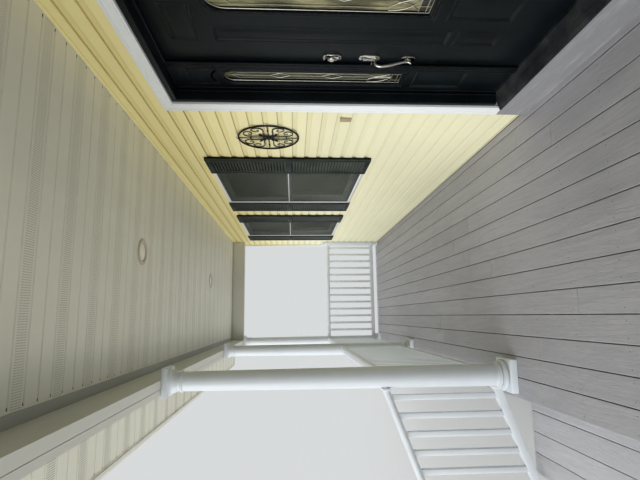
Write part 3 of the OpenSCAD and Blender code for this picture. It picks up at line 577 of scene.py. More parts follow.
def coilMetal(name, colour):
    # painted aluminium sheet: dented between its nails, chalky with age, streaked by rain
    coat = Coat(name, colour, 0.45)
    chalk = coat.noise(7.0, 5.0, 0.6)
    coat.ground(coat.spread(chalk, 0.3, 0.7), 0.95, 1.03)
    coat.streaked(0.62, 0.4)
    coat.worn((0.55, 0.55, 0.55), 0.003, 18.0, 0.25)
    coat.rough(chalk, 0.2, 0.36)
    coat.bump(coat.noise((2.6, 5.0, 5.0), 2.0), 0.006, 0.6)
    return coat


def concrete(name):
    coat = Coat(name, (0.46, 0.45, 0.42), 0.88)
    grit = coat.group(speckles, Vector=coat.place, Size=0.0035)["Grain"]
    pits = coat.clouds(0.62, 0.70, 70.0, 2.0)
    coat.ground(coat.clouds(0.3, 0.7, 2.2, 6.0, 0.6), 0.82, 1.12)
    coat.layer(grit, 1.25, 0.25)
    coat.streaked(0.6, 0.45)
    coat.layer(pits, 0.5, 0.6)
    coat.bump(coat.minus(coat.times(grit, 0.3), pits), 0.0012)
    return coat


def rawTimber(name):
    coat = Coat(name, (0.40, 0.28, 0.15), 0.75)
    grain = coat.group(boardGrain, Vector=coat.place, Scale=1.2)
    coat.ground(grain["Bands"], 1.15, 0.66)
    coat.layer(grain["Pores"], 0.5, 0.3)
    coat.layer(coat.clouds(0.45, 0.75, 1.5, 5.0), (0.26, 0.24, 0.20))
    coat.bump(grain["Height"], 0.0015)
    return coat


# Camera, floor and light

cameraSpot = {"place": (1.910, 0.024, 2.087), "yaw": 9.30, "pitch": 3.30, "roll": 0.22, "focalPixels": 463.1,
              "pixels": 640, "sensor": 36}


def addCamera():
    yaw, pitch, roll = (radians(cameraSpot[key]) for key in ("yaw", "pitch", "roll"))
    ahead = Vector((-cos(pitch) * cos(yaw), cos(pitch) * sin(yaw), -sin(pitch)))
    right = Vector((sin(yaw), cos(yaw), 0))
    down = ahead.cross(right)
    across = cos(roll) * right + sin(roll) * down
    downwards = cos(roll) * down - sin(roll) * right
    # the picture is held on its side: its long edge runs down the porch's height
    turn = Matrix((downwards, across, -ahead)).transposed().to_4x4()
    bpy.ops.object.camera_add()
    camera = bpy.context.object
    camera.name = "camera"
    camera.matrix_world = Matrix.Translation(cameraSpot["place"]) @ turn
    camera.data.sensor_width = cameraSpot["sensor"]
    camera.data.lens = cameraSpot["focalPixels"] * cameraSpot["sensor"] / cameraSpot["pixels"]
    camera.data.clip_start, camera.data.clip_end = 0.02, 200
    bpy.context.scene.camera = camera


studio = {"floorSize": 400, "floorColour": (0.56, 0.56, 0.55), "backColour": (0.683, 0.703, 0.703),
          "skyColour": (0.95, 0.98, 1.0), "skyStrength": 1.15, "mirrorStrength": 0.70,
          "sunPower": 2.0, "sunSpread": 50, "sunAim": (-0.45, 1.0, -0.20),
          "bouncePower": 270, "bounceColour": (1.0, 0.95, 0.80), "bouncePlace": (-2.0, -5.4, 0.03),
          "bounceSize": (14, 5)}


def addStudio():
    s = studio
    alone()
    bpy.ops.mesh.primitive_plane_add(size=s["floorSize"], location=(0, 0, -0.001))
    paper = settle(bpy.context.object)
    paper.name = "studioFloor"
    paper.data.materials.append(plainMaterial("studioPaper", s["floorColour"], 0.9).material)
    world = bpy.data.worlds.new("studioSky")
    bpy.context.scene.world = world
    world.use_nodes = True
    world.node_tree.nodes.clear()
    # light for surfaces, a dimmer sky in mirror-like faces, and a plain backdrop for the camera
    n = Nodes(world.node_tree)
    rays, light = n.add("LightPath"), n.add("Background", s["skyColour"], s["skyStrength"])[0]
    for ray, colour, strength in (("Is Glossy Ray", s["skyColour"], s["mirrorStrength"]),
                                  ("Is Camera Ray", s["backColour"], 1.0)):
        light = n.add("MixShader", rays[ray], light, n.add("Background", colour, strength)[0])[0]
    n.add("OutputWorld", light)
    bpy.ops.object.light_add(type="SUN", location=(0, -6, 4))
    sun = bpy.context.object
    sun.name = "softSun"
    sun.data.energy, sun.data.angle = s["sunPower"], radians(s["sunSpread"])
    sun.rotation_mode = "QUATERNION"
    sun.rotation_quaternion = Vector(s["sunAim"]).to_track_quat("-Z", "Y")
    # what sunlit ground in front of the steps sends up under the roof
    bpy.ops.object.light_add(type="AREA", location=s["bouncePlace"], rotation=(pi, 0, 0))
    bounce = bpy.context.object
    bounce.name = "groundBounce"
    bounce.data.shape = "RECTANGLE"
    bounce.data.size, bounce.data.size_y = s["bounceSize"]
    bounce.data.energy, bounce.data.color = s["bouncePower"], s["bounceColour"]
    bounce.visible_camera = bounce.visible_glossy = False
    bpy.context.scene.view_settings.view_transform = "Standard"
    print("Camera and light set")


# Deck, landing and lower step

deckPlanks = {"width": 0.140, "gap": 0.003, "thick": 0.025, "ease": 0.004, "lengths": (6.10, 7.32, 6.71),
              "joint": 0.0016, "joist": 0.4064}
deckPitch = deckPlanks["width"] + deckPlanks["gap"]
deckPaint = {"colour": (0.410, 0.402, 0.436), "faded": (0.59, 0.585, 0.615), "shaded": (0.315, 0.313, 0.33),
             "worn": (0.52, 0.51, 0.50), "dust": (0.50, 0.49, 0.48)}


def paintedBoards(name, colour):
    coat = Coat(name, colour, 0.55)
    tone = coat.add("Attribute", attribute_name="tone")["Fac"]
    grain = coat.group(boardGrain, Vector=coat.place, Shift=tone)
    coat.ground(tone, 0.87, 1.12)
    coat.layer(grain["Bands"], 0.76, 0.60)
    coat.layer(grain["Pores"], 1.30, 0.28)
    # stains, then scuffs where feet pass
    coat.layer(coat.clouds(0.45, 0.72, (0.8, 2.6, 2.6), 5.0, 0.65), 0.78, 0.55)
    coat.layer(coat.clouds(0.54, 0.68, (2.4, 30.0, 30.0), 6.0, 0.7), deckPaint["worn"], 0.40)
    coat.worn(deckPaint["worn"], 0.005, 24.0, 0.65)
    dust = coat.dusty(deckPaint["dust"], 0.30, 3.0)
    coat.rough(coat.plus(coat.times(grain["Bands"], 0.4), dust), 0.3, 0.50)
    coat.bump(grain["Height"], 0.0012)
    return coat


def nailHeads(coat):
    # two sunk nails in each deck board over every joist, on its top only
    squares = []
    for letter, start, pitch, ways in (("X", 0.0, deckPlanks["joist"], (0.5,)),
                                       ("Y", deckFront, deckPitch, (0.2, 0.78))):
        share = coat.repeat(coat.axis(letter), start - 40 * pitch, pitch)
        nearest = coat.chain("MINIMUM", *(coat.maths("ABSOLUTE", coat.minus(share, way)) for way in ways))
        off = coat.times(nearest, pitch)
        squares.append(coat.times(off, off))
    away = coat.maths("SQRT", coat.plus(*squares))
    top = coat.maths("GREATER_THAN", coat.times(coat.normal("Z"), coat.axis("Z")), deckTop - 0.004)
    return coat.times(coat.spread(away, 0.0042, 0.0030), top)


def boardGapShade(coat):
    # painted shade in the gaps between boards: the faces that look along Y, behind the deck's front edge
    side = coat.maths("GREATER_THAN", coat.maths("ABSOLUTE", coat.normal("Y")), 0.8)
    return coat.times(side, coat.maths("GREATER_THAN", coat.axis("Y"), deckFront + 0.02))


def plankRow(low, high, row, jointed=True):
    # one run of boards end to end, cut where the row's own joints fall
    s, pieces, start = deckPlanks, [], low[0]
    while start < high[0] - 0.01:
        index = len(pieces)
        length = s["lengths"][int(scatter(row * 7 + index, 1) * 3)]
        if index == 0:
            length *= 0.35 + 0.6 * scatter(row, 2)
        end = min(start + length, high[0]) if jointed else high[0]
        if high[0] - end < 0.8:
            end = high[0]
        trims = [s["joint"] / 2 if cut else 0 for cut in (index, end < high[0])]
        board = block("plank", (start + trims[0], low[1], low[2]), (end - trims[1], high[1], high[2]), s["ease"])
        pieces.append(toned(board, [scatter(row * 13 + index, 3)] * len(board.data.vertices)))
        start = end
    return pieces


def deckRows():
    rows, row, front = [], 0, deckFront
    while front < deckHigh.y - 0.02:
        back = min(front + deckPlanks["width"], deckHigh.y)
        rows += plankRow((deckLow.x, front, deckLow.z), (deckHigh.x, back, deckTop), row)
        row, front = row + 1, front + deckPitch
    return rows


def stepRows():
    # three boards on the lower step and four on the landing
    low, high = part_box("step_boards")
    rows, thick = [], deckPlanks["thick"]
    for front, count, top in ((low.y, 3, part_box("tread_frame")[1].z + thick),
                              (high.y - 4 * deckPitch + deckPlanks["gap"], 4, high.z)):
        for row in range(count):
            y = front + row * deckPitch
            rows += plankRow((low.x, y, top - thick), (high.x, y + deckPlanks["width"], top), row + 40, False)
    return rows


def makeDeck():
    coat = paintedBoards("deckPaint", deckPaint["colour"])
    coat.tint(nailHeads(coat), (0.42, 0.41, 0.40))
    # painted shade: those faces are darkened for the shade between the boards; the front skirt and the riser under the
    # deck's edge share this coat and are darkened too
    coat.tint(boardGapShade(coat), (0.25, 0.24, 0.23))
    dress("deckPlanks", deckRows(), coat, "deck", ["deck_boards"])
    # painted light: the landing and the lower step get a lighter copy of the deck's paint, for the sky light that falls
    # on them
    dress("stepPlanks", stepRows(), paintedBoards("fadedDeckPaint", deckPaint["faded"]), "deck", ["step_boards"])
    for node in ("skirt_boards", "risers", "landing_frame", "tread_frame"):
        paint(node, coat)
    # painted shade: the kick board under the sill gets a darker copy of the deck's paint
    paint("kick_board", paintedBoards("kickPaint", deckPaint["shaded"]))
    print("Deck and steps laid")


# Columns

columnSizes = {"plinth": 0.228, "plinthHeight": 0.052, "foot": 0.076, "neck": 0.0645, "height": 2.438, "abacus": 0.200,
               "abacusHeight": 0.040, "shaftLow": 0.14, "shaftHigh": 2.296}
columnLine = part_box("column_left_inner")[0].y + columnSizes["plinth"] / 2


def columnAxis(side, place):
    low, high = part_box("column_%s_%s" % (side, place))
    return (low.x + high.x) / 2


def quarter(r0, z0, r1, z1, steps=5, dished=False):
    # a quarter curve from one point of an outline to another
    curve = []
    for i in range(1, steps):
        a = pi / 2 * i / steps
        out, up = (1 - cos(a), sin(a)) if dished else (sin(a), 1 - cos(a))
        curve.append((r0 + (r1 - r0) * out, z0 + (z1 - z0) * up))
    return curve


def roll(low, high, reach, steps=8):
    # the round edge of a ring, from its foot to its top
    middle, half = (low + high) / 2, (high - low) / 2
    return [(reach - half + half * sin(pi * i / steps), middle - half * cos(pi * i / steps))
            for i in range(steps + 1)]


def columnOutline():
    # (radius, height): two rings, the swelling shaft, the neck ring, a fillet and the cushion
    s = columnSizes
    base, top = s["plinthHeight"], s["height"] - s["abacusHeight"]
    shaft = lambda z: s["foot"] - (s["foot"] - s["neck"]) * (z / s["height"]) ** 1.6
    neck, cap = shaft(2.3), shaft(2.33)
    points = [(0.0, base - 0.01), (0.096, base - 0.01)] + roll(base, base + 0.034, 0.110)
    points += [(0.092, 0.087), (0.092, 0.089)] + roll(0.089, 0.108, 0.0905)
    points += [(0.0835, 0.1085), (0.0835, 0.113)] + quarter(0.0835, 0.113, shaft(s["shaftLow"]), s["shaftLow"])
    rise = s["shaftHigh"] - s["shaftLow"]
    points += [(shaft(z), z) for z in (s["shaftLow"] + rise * i / 24 for i in range(25))]
    points += [(neck + 0.001, 2.306)] + roll(2.309, 2.326, neck + 0.0095)
    points += [(cap + 0.0005, 2.328), (cap, 2.345), (cap + 0.004, 2.347), (cap + 0.004, 2.353), (cap + 0.0075, 2.3535)]
    points += quarter(cap + 0.0075, 2.3535, 0.094, top - 0.006, 8, True)
    return points + [(0.094, top - 0.006), (0.095, top + 0.002), (0.0, top + 0.002)]


def makeColumns():
    s = columnSizes
    coat = vinyl("columnVinyl", (0.62, 0.66, 0.705), 0.38, fine=0.12, waves=0.15, dirt=0.14)
    plinthTop = deckTop + s["plinthHeight"]
    # painted light: the plinth, below its top, is made lighter than the shaft, for the light that reaches the column's
    # foot
    coat.tint(coat.spread(coat.axis("Z"), plinthTop + 0.0005, plinthTop - 0.0005), (1.30, 1.30, 1.30))
    base, top = s["plinthHeight"], s["height"] - s["abacusHeight"]
    parts = [smooth(turned("shaft", columnOutline(), 64), 40)]
    for name, width, low, high, ease, steps in (
            ("plinth", s["plinth"], 0, base - 0.004, 0.004, 3),
            ("plinthSeam", s["plinth"] - 0.008, base - 0.006, base, 0.002, 2),
            ("abacus", s["abacus"], top + 0.009, s["height"], 0.0025, 3),
            ("abacusFillet", s["abacus"] - 0.010, top, top + 0.010, 0.0015, 2)):
        parts.append(smooth(block(name, (-width / 2, -width / 2, low), (width / 2, width / 2, high), ease, steps)))
    nodes = [node for node in frame["nodes"] if node.startswith("column_")]
    corners = [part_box(node) for node in nodes]
    places = [((low.x + high.x) / 2, (low.y + high.y) / 2, low.z) for low, high in corners]
    for node, column in zip(nodes, placed(joined(parts), places)):
        dress(camel(node), [column], coat, "white_trim", [node])
    print("Columns turned")


# Railings, newels and wall posts

railSizes = {"top": 0.940, "topWidth": 0.084, "topHeight": 0.050, "footWidth": 0.050, "footHeight": 0.062,
             "foot": 0.085, "baluster": 0.038, "pitch": 0.125, "bracket": 0.005, "capOff": 0.073, "slope": 356 / 945,
             "stairHeight": 0.850, "stairFoot": 0.060, "intoColumn": 0.060, "columnFoot": 0.076, "newel": 0.102,
             "postCap": 0.010}


def handrailOutline(top):
    # a rounded cap over a narrower lip, (across, up), from the underside round to the other side
    s = railSizes
    lip, half, low = s["footWidth"] / 2, s["topWidth"] / 2, top - s["topHeight"]
    right = [(lip - 0.002, low), (lip, low + 0.002), (lip, low + 0.011), (half - 0.004, low + 0.014),
             (half, low + 0.018), (half, top - 0.017), (half - 0.003, top - 0.009), (half - 0.010, top - 0.004),
             (half - 0.020, top - 0.0012), (half - 0.032, top)]
    return right + [(-a, b) for a, b in reversed(right)]


def footrailOutline(low):
    half, e, high = railSizes["footWidth"] / 2, 0.004, low + railSizes["footHeight"]
    right = [(half - e, low), (half - e * 0.3, low + e * 0.3), (half, low + e), (half, high - e),
             (half - e * 0.3, high - e * 0.3), (half - e, high)]
    return right + [(-a, b) for a, b in reversed(right)]


def railBars(ends, low, top, first, count, pitch, sink):
    # handrail, footrail and the balusters let into both, built along X on y = 0
    s, half = railSizes, railSizes["baluster"] / 2
    stick = block("baluster", (first - half, -half, low + s["footHeight"] - sink),
                  (first + half, half, top - s["topHeight"] + sink), 0.0032)
    return [bar("handrail", handrailOutline(top), "x", *ends), bar("footrail", footrailOutline(low), "x", *ends),
            repeated(stick, count, (pitch, 0, 0))]


def bracket(x, way, low, top, plain=False):
    # a collar round each rail's end; those of level rails have a lip and screw plugs
    s, parts, start, end, lip = railSizes, [], way * 0.012, way * 0.020, 0.003
    plug = [(0, 0), (0.0042, 0), (0.0042, 0.0012), (0.003, 0.002), (0, 0.002)]
    for wide, z0, z1 in ((s["topWidth"], top - s["topHeight"], top), (s["footWidth"], low, low + s["footHeight"])):
        half, z0, z1 = wide / 2 + s["bracket"], z0 - s["bracket"], z1 + s["bracket"]
        if plain:
            parts.append(block("collar", (x, -half, z0), (x + end, half, z1), 0.003))
            continue
        parts.append(block("collar", (x - start, -half, z0), (x + start, half, z1), 0.003))
        parts.append(block("lip", (x - way * 0.004, lip - half, z0 + lip), (x + end, half - lip, z1 - lip), 0.002))
        parts += [facing(turned("plug", plug, 12), (x, side * half, (z0 + z1) / 2), side) for side in (-1, 1)]
    return parts


def levelRailing(start, end, capStart, capEnd):
    # from one column axis to the next, with balusters only where a whole one fits
    s, half = railSizes, railSizes["baluster"] / 2
    count = ceil(round((end - start) / s["pitch"], 4))
    pitch = (end - start) / count
    middles = (start + (i + 0.5) * pitch for i in range(count))
    sticks = [x for x in middles if capStart < x - half and x + half < capEnd]
    low, top = deckTop + s["foot"], deckTop + s["top"]
    parts = railBars((capStart, capEnd), low, top, sticks[0], len(sticks), pitch, 0.004)
    return joined(parts + bracket(capStart, 1, low, top) + bracket(capEnd, -1, low, top))


def stairRailing(start):
    # built level, from its newel into the column; its balusters fill the run up to the column's foot
    s = railSizes
    end, run = columnLine - s["intoColumn"], columnLine - start - s["columnFoot"]
    count = ceil(round(run / s["pitch"], 4))
    low, pitch = deckTop + s["stairFoot"], run / count
    top = low + s["stairHeight"]
    parts = railBars((start - 0.004, end), low, top, start + pitch / 2, count, pitch, 0.012)
    return joined(parts + bracket(start, 1, low, top, True) + bracket(end - 0.010, -1, low, top, True))


def alongY(rail, x, y, slope=0.0):
    # a railing laid along X turns to run along Y, and climbs by the stair's slope
    for vertex in rail.data.vertices:
        along, out, up = vertex.co
        vertex.co = (x - out, y + along, up + (along - deckFront) * slope)
    return rail


def post(sign, low, high, against):
    # a square shaft with a stepped skirt, a neck and a lid; against the wall it is half as deep
    half, cap, parts = railSizes["newel"] / 2, railSizes["postCap"], []
    deep, x, foot, top = half / 2 if against else half, sign * (high.x - half - cap), low.z, high.z
    y = wallFace - deep if against else (low.y + high.y) / 2
    for name, share, z0, z1, ease in (
            ("postShaft", 0, foot, top - 0.016, 0.003), ("postSkirt", 1, foot, foot + 0.018, 0.003),
            ("postSkirtTop", 0.6, foot + 0.016, foot + 0.024, 0.003),
            ("postNeck", 0.45, top - 0.026, top - 0.018, 0.0025), ("postLid", 1, top - 0.018, top - 0.012, 0)):
        out = share * cap
        back = y + deep + (0 if against else out)
        parts.append(block(name, (x - half - out, y - deep - out, z0), (x + half + out, back, z1), ease))
    # the lid's low pyramid
    lid = parts[-1]
    pick(lid, "FACE", lambda face: face.normal.z > 0.9)
    bpy.ops.mesh.extrude_region_move(TRANSFORM_OT_translate={"value": (0, 0, 0.012)})
    bpy.ops.transform.resize(value=(0.55, 0.55, 1), center_override=(x, y + (cap / 2 if against else 0), top))
    done()
    eased(lid, 0.0015, 2, 20)
    return joined(parts, 30)


def makeRailings():
    coat = vinyl("railVinyl", (0.74, 0.78, 0.82), 0.36, fine=0.1, waves=0.2, dirt=0.16)
    off = railSizes["capOff"]
    for side, sign in (("left", -1), ("right", 1)):
        inner, middle, corner = (abs(columnAxis(side, place)) for place in ("inner", "middle", "corner"))
        rails = {}
        for place, a, b in (("inner", inner, middle), ("outer", middle, corner)):
            low, high = sorted((sign * a, sign * b))
            rail = levelRailing(low, high, low + off, high - off)
            rail.location.y = columnLine
            rails["rail_%s_%s" % (side, place)] = settle(rail)
        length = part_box("rail_%s_end" % side)[1].y - columnLine
        rails["rail_%s_end" % side] = alongY(levelRailing(0, length, off, length), sign * corner, columnLine)
        low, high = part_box("stair_rail_" + side)
        rails["stair_rail_" + side] = alongY(stairRailing(low.y), (low.x + high.x) / 2, 0, railSizes["slope"])
        for node, rail in rails.items():
            dress(camel(node), [rail], coat, "white_trim", [node], 50)
    for node, against in (("stair_newels", False), ("wall_posts", True)):
        low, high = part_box(node)
        dress(camel(node), [post(sign, low, high, against) for sign in (-1, 1)], coat, "white_trim", [node])
    print("Railings fitted")


# Slope of the roof, which the soffits, the gables and the roof itself share

roofSizes = {"pitch": 18.5, "rafter": 0.089, "course": 0.143, "tab": 0.305, "slot": 0.009, "thick": 0.0065,
             "thickness": 0.032, "fascia": 0.190, "board": 0.019, "edge": 0.004, "dripLip": 0.060, "flashingLap": 0.075,
             "flashingRise": 0.070}
roofTilt = radians(roofSizes["pitch"])
upSlope = Vector((0, cos(roofTilt), sin(roofTilt)))
offSlope = Vector((0, -sin(roofTilt), cos(roofTilt)))
eaveReturn = beamLow.y + roofSizes["board"]
rafterDrop = roofSizes["rafter"] / upSlope.y


def roofUnder(y):
    low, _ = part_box("fascia")
    return low.z + roofSizes["fascia"] + (y - low.y) * tan(roofTilt)


# Siding on the house wall and the gables

lapSiding = {"pitch": 0.1025, "butt": 0.0115, "face": 0.0085, "cove": 0.0015, "faceShare": 0.62, "gable": 0.030,
             "base": 0.022, "corner": 0.090, "channel": 0.019, "proud": 0.002}
sidingBase, sidingBack = deckTop + lapSiding["base"], wallFace + lapSiding["butt"]


def sidingOutline(low, high, back=sidingBack, outward=-1):
    # the weather side of the courses between two heights: (distance, height), closed along the wall
    s, points = lapSiding, []
    shares = [(0.0, s["butt"]), (s["faceShare"], s["face"]), (s["faceShare"] + 0.045, s["face"] * 0.62),
              (s["faceShare"] + 0.09, s["face"] * 0.32), (s["faceShare"] + 0.15, s["cove"]), (0.99, s["cove"] * 0.6)]
    course = floor((low - sidingBase) / s["pitch"] + 1e-6)
    while (foot := sidingBase + course * s["pitch"]) < high:
        if low <= foot:
            points.append((back + outward * 0.0008, foot))
        heights = [(foot + share * s["pitch"], reach) for share, reach in shares]
        points += [(back + outward * reach, z) for z, reach in heights if low <= z <= high]
        course += 1
    if points[0][1] > low + 1e-4:
        points.insert(0, (points[0][0], low))
    if points[-1][1] < high - 1e-4:
        points.append((points[-1][0], high))
    return points + [(back - outward * 0.002, high), (back - outward * 0.002, low)]


def sidingVinyl():
    # painted light and shade: warmer and deeper in colour high up under the ceiling, for the warm light thrown up
    # there; painted shade on each cove; painted shadow, with some dirt, on the face just below each butt; and painted
    # shade on the butt's underside
    coat = vinyl("sidingVinyl", (0.84, 0.81, 0.56), 0.50, fine=1.2, waves=0.55, dirt=0.10)
    height = coat.axis("Z")
    share = coat.repeat(height, sidingBase, lapSiding["pitch"])
    coat.tint(coat.spread(height, 1.5, 3.0), (1.17, 1.07, 0.76))
    coat.tint(coat.spread(share, 0.62, 0.76), (0.93, 0.92, 0.88))
    coat.tint(coat.spread(share, 0.92, 0.99), (0.52, 0.49, 0.42))
    coat.tint(coat.spread(coat.normal("Z"), -0.4, -0.8), (0.74, 0.71, 0.62))
    return coat


def plainWall():
    coat = Coat("wallCore", (0.70, 0.67, 0.52), 0.8)
    coat.ground(coat.clouds(0.3, 0.7, 1.4, 5.0), 0.93, 1.04)
    coat.bump(coat.noise(180.0), 0.0008)
    return coat


def makeSiding():
    s, strips, trims = lapSiding, [], []
    coat, casing = sidingVinyl(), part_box("door_casing")[1]
    inner, outer = windowSizes["centres"][2:]
    half, wallEnd = windowHigh.x - outer, wallHigh.x - s["corner"]
    low, top, wide = deckTop + 0.012, wallTop - 0.004, s["channel"]

    def strip(x0, x1, z0=low, z1=top, signs=(-1, 1)):
        strips.extend(bar("courses", sidingOutline(z0, z1), "x", sign * x0, sign * x1) for sign in signs)

    def trim(x0, x1, z0, z1, signs=(-1, 1)):
        trims.extend(block("channel", (sign * x0, wallFace - s["proud"], z0), (sign * x1, sidingBack, z1), 0.0015, 1)
                     for sign in signs)

    for x0, x1 in ((casing.x, inner - half), (inner + half, outer - half), (outer + half, wallEnd)):
        strip(x0, x1)
    for x in (inner, outer):
        strip(x - half, x + half, low, windowLow.z)
        strip(x - half, x + half, windowHigh.z, top)
        trim(x - half - s["proud"], x + half + s["proud"], windowHigh.z, windowHigh.z + wide)
        trim(x - half - s["proud"], x + half + s["proud"], windowLow.z - 0.016, windowLow.z)
    strip(-casing.x, casing.x, casing.z, top, (1,))
    trim(-casing.x, casing.x, casing.z, casing.z + wide, (1,))
    trim(casing.x, casing.x + wide, low, casing.z + wide)
    trim(wallEnd - 0.017, wallEnd, low, ceilingLow.z - 0.006)
    # under the ceiling, and along the foot of the courses
    trim(ceilingLow.x, ceilingHigh.x, ceilingLow.z - 0.020, ceilingLow.z + 0.001, (1,))
    trim(casing.x, wallEnd, low - 0.006, low + 0.010)
    dress("sidingCourses", strips, coat, "siding", angle=25)
    dress("sidingChannels", trims, coat, "siding")
    # the wall behind its siding, cut through for the windows
    front, cores, nodes = sidingBack + 0.0015, [], ["wall_left", "wall_right", "wall_over_door"]
    for node in nodes:
        a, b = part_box(node)
        holes = [block("cutter", (x - half, front - cutPast, windowLow.z), (x + half, b.y + cutPast, windowHigh.z))
                 for x in windowSizes["centres"] if a.x < x < b.x]
        cores.append(cutAway(block("core", (a.x, front, a.z), b), holes))
    dress("wallCores", cores, plainWall(), "siding", nodes)
    print("Siding hung")
    return coat


def makeGables(coat):
    front, parts = eaveReturn, []
    drop = rafterDrop + soffitPanel["thick"]
    for sign in (-1, 1):
        back = sign * (beamHigh.x - lapSiding["butt"])
        outline = sidingOutline(beamHigh.z + 0.001, roofUnder(wallFace) - drop, back, sign)
        outline[-2:] = [(sign * (beamHigh.x - lapSiding["gable"]), z) for _, z in outline[-2:]]
        courses = bar("gableCourses", outline, "y", front, wallFace)
        parts.append(smooth(sliced(courses, (0, front, roofUnder(front) - drop - 0.001), offSlope), 25))
        parts.append(block("channel", (sign * (beamHigh.x - 0.014), front, beamHigh.z - 0.002),
                           (sign * (beamHigh.x + 0.002), wallFace, beamHigh.z + 0.014), 0.0015, 1))
    dress("gableSiding", parts, coat, "siding", ["gables"])
    print("Gables sided")


# Vinyl ceiling and soffits

soffitPanel = {"strip": 0.1084, "phase": -0.008, "ventEvery": 3, "groove": 0.0065, "depth": 0.009,
               "slotLong": 0.0235, "slotPitch": 0.0255, "slotWide": 0.0036, "rowPitch": 0.0106, "vent": 0.38,
               "eaveVent": 0.62, "lip": 0.012, "notch": 0.012, "thick": 0.012}


def grooved(start, end):
    # one side of a grooved sheet between two places: (along, down), flat strips between V grooves
    s = soffitPanel
    points, index = [(start, -s["thick"]), (start, 0.0)], ceil((start - s["phase"]) / s["strip"])
    while (line := s["phase"] + index * s["strip"]) < end - s["groove"]:
        if line > start + s["groove"]:
            points += [(line - s["groove"], 0.0), (line, -s["depth"]), (line + s["groove"], 0.0)]
        index += 1
    return points + [(end, 0.0), (end, -s["thick"])]


def soffitVinyl(name, vent):
    # grooved sheets; every third strip has rows of short slots
    s, coat = soffitPanel, Coat(name, (0.74, 0.73, 0.64), 0.50)
    emboss = coat.group(mouldedVinyl, Vector=coat.place, Fine=0.8, Waves=0.35)
    strip = coat.maths("DIVIDE", coat.minus(coat.axis("X"), s["phase"]), s["strip"])
    cycle = coat.maths("FLOORED_MODULO", coat.maths("FLOOR", strip), s["ventEvery"])
    across = coat.maths("FRACT", strip)
    masks = [coat.maths("GREATER_THAN", cycle, s["ventEvery"] - 1.5), coat.maths("GREATER_THAN", across, 0.15),
             coat.maths("LESS_THAN", across, 0.85)]
    for letter, pitch, size, soft in (("X", s["slotPitch"], s["slotLong"], 0.06),
                                      ("Y", s["rowPitch"], s["slotWide"], 0.25)):
        away = coat.maths("ABSOLUTE", coat.minus(coat.repeat(coat.axis(letter), 0.0, pitch), 0.5))
        half = size / pitch / 2
        masks.append(coat.spread(away, half * (1 + soft), half * (1 - soft)))
    holes = coat.times(*masks)
    coat.ground(coat.spread(emboss["Tone"], 0.25, 0.75), 0.95, 1.03)
    coat.layer(holes, (0.05, 0.05, 0.045), vent)
    coat.bump(coat.minus(emboss["Height"], coat.times(holes, 0.0015)), 1.0, 0.6)
    return coat


def hungLip(x0, x1, y0, y1, base):
    return block("lip", (x0, y0, base - 0.0022), (x1, y1, base + 0.0004), 0.0008, 1)


def hungSheet(low, high, back):
    # a grooved sheet on slim lips, with near-black blocks behind the lips as painted shade, for the dark cavity seen
    # where the grooves run in
    lip, notch, base = soffitPanel["lip"], soffitPanel["notch"], low.z
    sheets = [bar("sheet", [(a, base - b) for a, b in grooved(low.x, high.x)], "y", low.y + lip, back - lip)]
    darks = []
    for y, before, behind in ((low.y, 0, notch), (back - lip, notch, 0)):
        sheets.append(hungLip(low.x, high.x, y, y + lip, base))
        darks.append(block("dark", (low.x, y - before, base + 0.0022), (high.x, y + lip + behind, base + 0.011)))
    return sheets, darks


def makeCeiling():
    s, low, high = soffitPanel, ceilingLow, ceilingHigh
    sheets, darks = hungSheet(low, high, high.y)
    sheets += [hungLip(x, x + s["lip"], low.y, high.y, low.z) for x in (low.x, high.x - s["lip"])]
    dress("ceilingSheets", sheets, soffitVinyl("soffitVinyl", s["vent"]), "soffit", ["ceiling"])
    low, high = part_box("soffit")
    parts, moreDarks = hungSheet(low, high, beamLow.y)
    shade = plainMaterial("cavityShade", (0.025, 0.024, 0.020), 0.9)
    dress("ceilingCavities", darks + moreDarks, shade, "soffit")
    # the slopes under the roof's ends, with the upright return that closes the eave
    top = roofUnder(eaveReturn) - rafterDrop
    start = Vector((0, eaveReturn, top - s["thick"]))
    slope = [start + upSlope * a - offSlope * b for a, b in grooved(0.0, (wallFace - eaveReturn) / upSlope.y)]
    for x0, x1 in ((low.x, -beamHigh.x), (beamHigh.x, high.x)):
        parts.append(bar("rakeSheet", [(spot.y, spot.z) for spot in slope], "x", x0, x1))
        parts.append(block("return", (x0, beamLow.y, low.z), (x1, eaveReturn, top), 0.001, 1))
    dress("soffitSheets", parts, soffitVinyl("eaveVinyl", s["eaveVent"]), "soffit", ["soffit"])
    print("Ceiling and soffits hung")


# Front door, sidelights and their leaded glass

doorSizes = {"sink": 0.008, "glassSet": 0.014, "cameWidth": 0.0054, "border": 0.014, "row": 0.058,
             "fan": 0.205, "lancet": 0.022, "diamondHigh": 0.130, "diamondWide": 0.052, "diamondRises": (0.424, 0.741),
             "seat": 0.0077, "twoBorders": 0.2}
doorLeaf = {"ease": 0.0015, "steps": 2, "band": 0.024, "over": 0.008,
            "nosing": ((0.006, 0.0), (0.0042, 0.007), (0.0022, 0.013))}
sideLeaf = {"ease": 0.0012, "steps": 1, "band": 0.02208, "over": 0.005, "nosing": ((0.006, 0.0), (0.004, 0.007)),
            "light": 0.132, "clear": 0.030}
